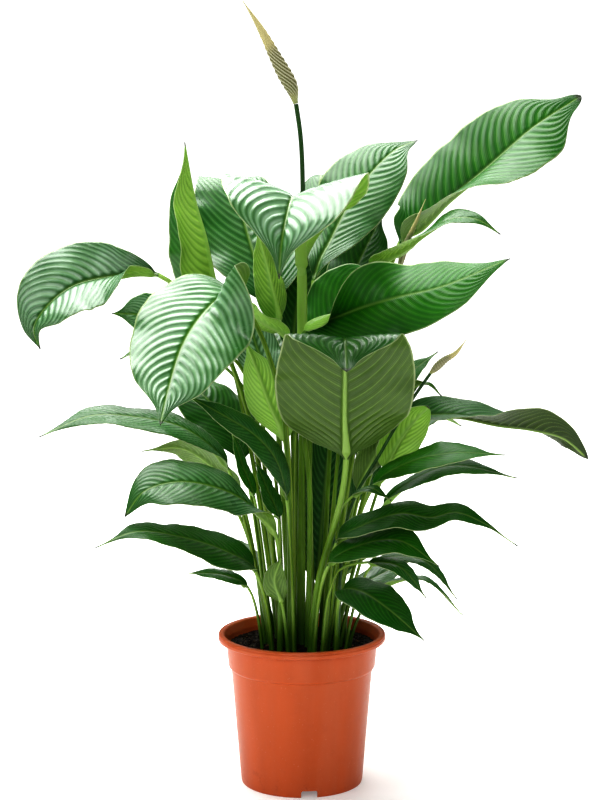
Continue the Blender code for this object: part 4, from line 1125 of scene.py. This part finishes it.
def closed_flower(one):
    """The spathe furled round itself: its margin winds up the bud as a low step, and ribs cross it aslant."""
    path, _ = smooth_path(one.bud)
    u = np.linspace(0, 1, BUD_ROWS)
    places, headings = stations(path, u)
    side, normal = round_axes(headings)
    angle = ring_angles(BUD_SIDES)
    wound = ((angle[None, :] - BUD_SEAM_START) / (2 * pi) + BUD_SEAM_TURNS * u[:, None]) % 1.0
    radius = bud_radius(one, u)[:, None] * (1 - BUD_SEAM_STEP * wound)
    rings = rings_at(places, side, normal, radius * np.cos(angle), radius * np.sin(angle))
    reach = smoothstep(u, 0.05, 0.2) * (1 - smoothstep(u, 0.5, 0.8))
    outwards = rings_at(np.zeros_like(places), side, normal, np.cos(angle)[None, :], np.sin(angle)[None, :])
    attributes = {
        "along": np.repeat(u[:, None], BUD_SIDES, axis=1), "seam": 1 - wound,
        "rib": BUD_RIBS * (u[:, None] + BUD_WRAP * np.cos(angle)[None, :] * 0.5),
        "ribbing": np.repeat(reach[:, None], BUD_SIDES, axis=1), "up": outwards}
    return skin_object(one.name + "_spathe_fine", rings, np.zeros((BUD_ROWS - 1, BUD_SIDES)), attributes)


# Pot and soil

def rounded_profile(corners):
    """A profile of (radius, height, rounding) corners in mm with each corner turned into a short arc."""
    points = []
    for index, (r, z, rounding) in enumerate(corners):
        here = Vector((r, z))
        if rounding == 0:
            points.append(here)
            continue
        before = (Vector(corners[index - 1][:2]) - here).normalized()
        after = (Vector(corners[index + 1][:2]) - here).normalized()
        start, end = here + before * rounding, here + after * rounding
        for t in (step / CORNER_STEPS for step in range(CORNER_STEPS + 1)):
            points.append(start.lerp(here, t).lerp(here.lerp(end, t), t))
    return points


def turned(name, profile, steps):
    """A turned solid: the profile runs from the axis inside, over the rim and down to the axis below."""
    mesh = bpy.data.meshes.new(name)
    mesh.from_pydata([(point.x * MM, 0, point.y * MM) for point in profile],
                     [(i, i + 1) for i in range(len(profile) - 1)], [])
    piece = new_object(name, mesh)
    screw = piece.modifiers.new("Turn", "SCREW")
    screw.axis = "Z"
    screw.angle = 2 * pi
    screw.steps = steps
    screw.render_steps = steps
    screw.use_merge_vertices = True
    screw.merge_threshold = 0.00001
    return piece


def pot_profile():
    lip_z = POT_HEIGHT - LIP_HEIGHT
    groove_z = POT_HEIGHT - 0.36 * LIP_HEIGHT
    band = RIM_RADIUS - RIM_BAND_STEP
    foot = FOOT_RADIUS - FOOT_CHAMFER
    return rounded_profile([
        (0, BASE_TOP_Z, 0),
        (FOOT_RADIUS - WALL + WALL_SLOPE * BASE_TOP_Z, BASE_TOP_Z, 1.0),
        (WALL_TOP_RADIUS - WALL, LEDGE_Z - 1, 0.8),
        (COLLAR_FOOT_RADIUS - WALL, LEDGE_Z + 2, 0.8),
        (COLLAR_TOP_RADIUS - WALL, lip_z - 1, 0.8),
        (RIM_INNER_RADIUS - 0.6, POT_HEIGHT - 1.4, 0.6),
        (RIM_INNER_RADIUS + 1.0, POT_HEIGHT - 0.15, 0.7),
        (RIM_RADIUS - 1.0, POT_HEIGHT, 1.0),
        (band, POT_HEIGHT - 1.7, 0.6),
        (band, groove_z + 0.5, 0.25),
        (band - RIM_GROOVE_DEPTH, groove_z, 0.3),
        (RIM_RADIUS, groove_z - 0.6, 0.3),
        (RIM_RADIUS, lip_z + 0.9, 0.8),
        (RIM_RADIUS - 1.2, lip_z, 0.5),
        (COLLAR_TOP_RADIUS + 0.6, lip_z, 0.5),
        (COLLAR_TOP_RADIUS, lip_z - 0.9, 0.5),
        (COLLAR_FOOT_RADIUS, LEDGE_Z + 1.4, 0.9),
        (COLLAR_FOOT_RADIUS - 1.2, LEDGE_Z + 0.1, 0.7),
        (WALL_TOP_RADIUS, LEDGE_Z - 1.0, 0.6),
        (FOOT_RADIUS, 2.2, 1.0),
        (foot, 0, 0.5),
        (foot - FOOT_RING_WIDTH, 0, 0.4),
        (foot - FOOT_RING_WIDTH - 0.3, BASE_UNDER_Z, 0.6),
        (0, BASE_UNDER_Z, 0),
    ])


def cutter(name, make):
    """A hidden object in the shape that make builds in mm, for cutting."""
    shape = bmesh.new()
    make(shape)
    bmesh.ops.scale(shape, verts=shape.verts, vec=(MM, MM, MM))
    bmesh.ops.recalc_face_normals(shape, faces=shape.faces)
    made = new_object(name, mesh_of(name, shape))
    made.hide_render = True
    return made


def notch_shape(shape):
    for index in range(NOTCHES):
        turn = Matrix.Rotation(radians(-90 + FRONT_NOTCH_TURN + index * 360 / NOTCHES), 4, "Z")
        size = Matrix.Diagonal((NOTCH_DEPTH, NOTCH_WIDTH, NOTCH_HEIGHT * 2, 1))
        block = turn @ Matrix.Translation((FOOT_RADIUS, 0, 0)) @ size
        corners = set(bmesh.ops.create_cube(shape, size=1.0, matrix=block)["verts"])
        upper_edges = [edge for edge in shape.edges if corners.issuperset(edge.verts)
                       and min(vert.co.z for vert in edge.verts) > 0
                       and abs(edge.calc_length() - NOTCH_DEPTH) < 0.1]
        bmesh.ops.bevel(shape, geom=upper_edges, offset=NOTCH_ROUNDING, segments=3, affect="EDGES")


def drain_shape(shape):
    for index in range(DRAIN_HOLES):
        angle = 2 * pi * (index + 0.5) / DRAIN_HOLES
        made = bmesh.ops.create_cone(shape, cap_ends=True, segments=32, radius1=DRAIN_RADIUS,
                                     radius2=DRAIN_RADIUS, depth=BASE_THICKNESS + 4)
        middle = (DRAIN_RING_RADIUS * cos(angle), DRAIN_RING_RADIUS * sin(angle),
                  BASE_UNDER_Z + BASE_THICKNESS / 2)
        bmesh.ops.translate(shape, verts=made["verts"], vec=middle)


def pot_piece(looks):
    pot = turned("pot_fine", pot_profile(), looks.steps)
    tools = [cutter("notches", notch_shape), cutter("drains", drain_shape)]
    for tool in tools:
        cut = pot.modifiers.new(tool.name, "BOOLEAN")
        cut.operation = "DIFFERENCE"
        cut.solver = "EXACT"
        cut.object = tool
    keep_result(pot)
    for tool in tools:
        bpy.data.objects.remove(tool, do_unlink=True)
    pot.data.shade_smooth()
    pot.data.set_sharp_from_angle(angle=radians(SHARP_ANGLE))
    return pot


def soil_height(x, y):
    """Height of the crumbly ground: a low crown, clods and grains."""
    r = (x * x + y * y) ** 0.5
    crown = SOIL_CROWN * max(0.0, 1 - (r / SOIL_LEVEL_RADIUS) ** 2)
    clods = noise.fractal(Vector((x, y, 0)) / CLOD_SIZE, 0.7, 2.0, 3)
    grains = noise.noise(Vector((x, y, 40)) / GRAIN_SIZE)
    return SOIL_Z - SOIL_DIP + crown + CLOD_HEIGHT * clods + GRAIN_HEIGHT * grains


def soil_piece():
    """The soil as a closed body: a crumbly top over plain sides that follow the pot's inner wall."""
    rings = [(SOIL_EDGE_RADIUS * index / SOIL_RINGS, None) for index in range(1, SOIL_RINGS + 1)]
    gap = WALL + SEAT_GAP
    rings += [(SOIL_EDGE_RADIUS, SOIL_Z - SOIL_EDGE_DROP), (COLLAR_FOOT_RADIUS - gap - 0.1, LEDGE_Z + 2.2),
              (WALL_TOP_RADIUS - gap, LEDGE_Z - 0.8),
              (FOOT_RADIUS - gap - 0.5 + WALL_SLOPE * BASE_TOP_Z, BASE_TOP_Z + SEAT_GAP)]
    points = [(0, 0, BASE_TOP_Z + SEAT_GAP), (0, 0, soil_height(0, 0))]
    starts = []
    for radius, z in rings:
        starts.append(len(points))
        for spoke in range(SOIL_SPOKES):
            angle = 2 * pi * spoke / SOIL_SPOKES
            x, y = radius * cos(angle), radius * sin(angle)
            points.append((x, y, soil_height(x, y) if z is None else z))
    faces = []
    for spoke in range(SOIL_SPOKES):
        after = (spoke + 1) % SOIL_SPOKES
        faces.append((1, starts[0] + spoke, starts[0] + after))
        for inner, outer in zip(starts, starts[1:]):
            faces.append((inner + spoke, outer + spoke, outer + after, inner + after))
        faces.append((0, starts[-1] + after, starts[-1] + spoke))
    mesh = bpy.data.meshes.new("soil_fine")
    mesh.from_pydata([tuple(part * MM for part in point) for point in points], [], faces)
    mesh.shade_smooth()
    return new_object("soil_fine", mesh)


def ground_patch(name, soil, radius):
    """A copy of the soil's top out to radius, for crumbs to be strewn on."""
    shape = bmesh.new()
    shape.from_mesh(soil.data)
    middles = [(face, face.calc_center_median()) for face in shape.faces]
    outside = [face for face, middle in middles
               if middle.z < (SOIL_Z - SOIL_EDGE_DROP + 0.5) * MM or middle.xy.length > radius * MM]
    bmesh.ops.delete(shape, geom=outside, context="FACES")
    return new_object(name, mesh_of(name, shape))


# Operators

class LilyPot(bpy.types.Operator):
    """Turns the pot, cuts its foot notches and drain holes, and gives it its plastic"""
    bl_idname = "lily.pot"
    bl_label = "Pot"

    def execute(self, context):
        looks = context.scene.lily_pot
        pot = pot_piece(looks)
        pot.data.materials.append(plastic_material(looks))
        finish_piece(pot, "terracotta_plastic", "pot")
        return {"FINISHED"}


class LilySoil(bpy.types.Operator):
    """Fills the pot with crumbly soil and strews crumbs and bark on it"""
    bl_idname = "lily.soil"
    bl_label = "Soil"

    def execute(self, context):
        looks = context.scene.lily_soil
        soil = soil_piece()
        paints = {"soil_crumbs": soil_material("moist_soil", looks.ground, looks.bark),
                  "soil_bark": soil_material("bark_bits", shaded(looks.bark, BARK_LIGHTENING), looks.bark)}
        soil.data.materials.append(paints["soil_crumbs"])
        finish_piece(soil, "dark_soil", "soil")
        tree = shared_tree("Crumbs", crumb_tree)
        for name, (share, size, length) in STREWN.items():
            crumbs = ground_patch(name, soil, COLLAR_FOOT_RADIUS - WALL - CRUMB_EDGE_ROOM)
            apply_tree(crumbs, tree, {
                "Crumbs per Area": looks.crumbs * share, "Length": length, "Seed": looks.seed + len(name),
                "Smallest": SMALLEST_SHARE * size * looks.crumb_size, "Largest": size * looks.crumb_size,
                "Material": paints[name]})
            finish_piece(crumbs, "dark_soil")
        return {"FINISHED"}


class LilyLeaves(bpy.types.Operator):
    """Grows every leaf on its own stalk, ribs its blade and colours it by its age"""
    bl_idname = "lily.leaves"
    bl_label = "Leaves"

    def execute(self, context):
        looks = context.scene.lily_leaves
        upper = upper_face_material(looks)
        under = under_face_material(looks)
        stalk = stalk_material("leaf_stalk", looks.stalk, looks.vein, LEAF_STALK_FOOT)
        tree = shared_tree("Ribbed Skin", rib_tree)
        roots, _ = settle_roots()
        for index, (one, root) in enumerate(zip(LEAVES, roots)):
            piece = leaf_piece(one, root, looks, LEAF_PHASE * index)
            apply_tree(piece, tree, {
                "Rib Height": looks.rib_height * rib_spacing(one.width) * MM, "Sharpness": RIB_SHARPNESS,
                "Ripple": RIB_RIPPLE, "Upper Face": upper, "Under Face": under, "Stalk": stalk})
            finish_piece(piece, "leaf_green", one.name)
        return {"FINISHED"}


class LilyFlowers(bpy.types.Operator):
    """Raises each closed flower on its stalk"""
    bl_idname = "lily.flowers"
    bl_label = "Flowers"

    def execute(self, context):
        looks = context.scene.lily_flowers
        spathe = spathe_material(looks)
        stalk = stalk_material("flower_stalk", looks.stalk, FLOWER_STALK_KNEE, FLOWER_STALK_FOOT)
        tree = shared_tree("Ribbed Skin", rib_tree)
        _, roots = settle_roots()
        for one, root in zip(FLOWERS, roots):
            rib_height = BUD_RIB_HEIGHT * one.radius * MM
            pieces = ((flower_stalk(one, root), stalk, 0.0, "stalk_green", "_stalk"),
                      (closed_flower(one), spathe, rib_height, "cream_spathe", "_spathe"))
            for piece, paint, height, slot, ending in pieces:
                apply_tree(piece, tree, {"Rib Height": height, "Sharpness": BUD_RIB_SHARPNESS, "Ripple": 0.0,
                                         "Upper Face": paint, "Under Face": paint, "Stalk": paint})
                finish_piece(piece, slot, one.name + ending)
        return {"FINISHED"}


def place_softboxes(looks):
    """Area lights that look at the middle of the plant."""
    for name, (setting, place, width, height) in SOFTBOXES.items():
        data = bpy.data.lights.new(name, "AREA")
        data.shape = "RECTANGLE"
        data.size = width
        data.size_y = height
        data.energy = getattr(looks, setting)
        light = new_object(name, data)
        light.location = place
        light.rotation_euler = (PLANT_MIDDLE - Vector(place)).to_track_quat("-Z", "Y").to_euler()


def light_room(looks):
    """A white room behind the object, which lights it less brightly than it shows."""
    world = bpy.data.worlds.new("studio_room")
    world.use_nodes = True
    bpy.context.scene.world = world
    room = Nodes(world.node_tree)
    background = room.tree.nodes["Background"]
    seen = room.add("ShaderNodeLightPath").outputs["Is Camera Ray"]
    room.feed(background.inputs["Color"], (1.0, 1.0, 1.0, 1.0))
    room.feed(background.inputs["Strength"], room.step(seen, 0.0, 1.0, looks.ambient, 1.0))


def photo_camera():
    """The camera at the photograph's angle: level sideways, above the leaves and looking slightly down."""
    data = bpy.data.cameras.new("photo_camera")
    data.sensor_fit = "AUTO"
    data.sensor_width = SENSOR_MM
    data.lens = FOCAL_PX / PICTURE_HEIGHT_PX * SENSOR_MM
    camera = new_object("photo_camera", data)
    off_axis = (PICTURE_CENTRE_PX - POT_AXIS_PX) / FOCAL_PX * CAMERA_DISTANCE
    camera.location = (off_axis, -CAMERA_DISTANCE, CAMERA_HEIGHT)
    camera.rotation_euler = (radians(90 - CAMERA_PITCH), 0, 0)
    bpy.context.scene.camera = camera


class LilyStudio(bpy.types.Operator):
    """Lays the pale floor and sets the softboxes and the camera"""
    bl_idname = "lily.studio"
    bl_label = "Studio"

    def execute(self, context):
        looks = context.scene.lily_studio
        shape = bmesh.new()
        bmesh.ops.create_circle(shape, cap_ends=True, segments=96, radius=FLOOR_RADIUS)
        floor = new_object("floor", mesh_of("floor", shape))
        floor.data.materials.append(floor_material(looks))
        place_softboxes(looks)
        light_room(looks)
        photo_camera()
        context.scene.view_settings.view_transform = "Standard"
        context.scene.view_settings.look = "High Contrast"
        return {"FINISHED"}


class LilyPanel(bpy.types.Panel):
    bl_idname = "VIEW3D_PT_peace_lily"
    bl_label = "Peace Lily"
    bl_space_type = "VIEW_3D"
    bl_region_type = "UI"
    bl_category = "Peace Lily"

    def draw(self, context):
        for group, (_, operator) in GROUPS.items():
            box = self.layout.box()
            looks = getattr(context.scene, group)
            for name in looks.bl_rna.properties.keys():
                if name not in ("rna_type", "name"):
                    box.prop(looks, name)
            box.operator(operator.bl_idname)


GROUPS = {
    "lily_pot": (PotLooks, LilyPot), "lily_soil": (SoilLooks, LilySoil),
    "lily_leaves": (LeafLooks, LilyLeaves), "lily_flowers": (FlowerLooks, LilyFlowers),
    "lily_studio": (StudioLooks, LilyStudio),
}
CLASSES = (*(cls for pair in GROUPS.values() for cls in pair), LilyPanel)


def register():
    for cls in CLASSES:
        bpy.utils.register_class(cls)
    for name, (looks, _) in GROUPS.items():
        setattr(bpy.types.Scene, name, PointerProperty(type=looks))


def unregister():
    for name in GROUPS:
        delattr(bpy.types.Scene, name)
    for cls in reversed(CLASSES):
        bpy.utils.unregister_class(cls)


def main():
    register()
    bpy.ops.lily.pot()
    bpy.ops.lily.soil()
    bpy.ops.lily.leaves()
    bpy.ops.lily.flowers()
    bpy.ops.lily.studio()


if __name__ == "__main__":
    main()
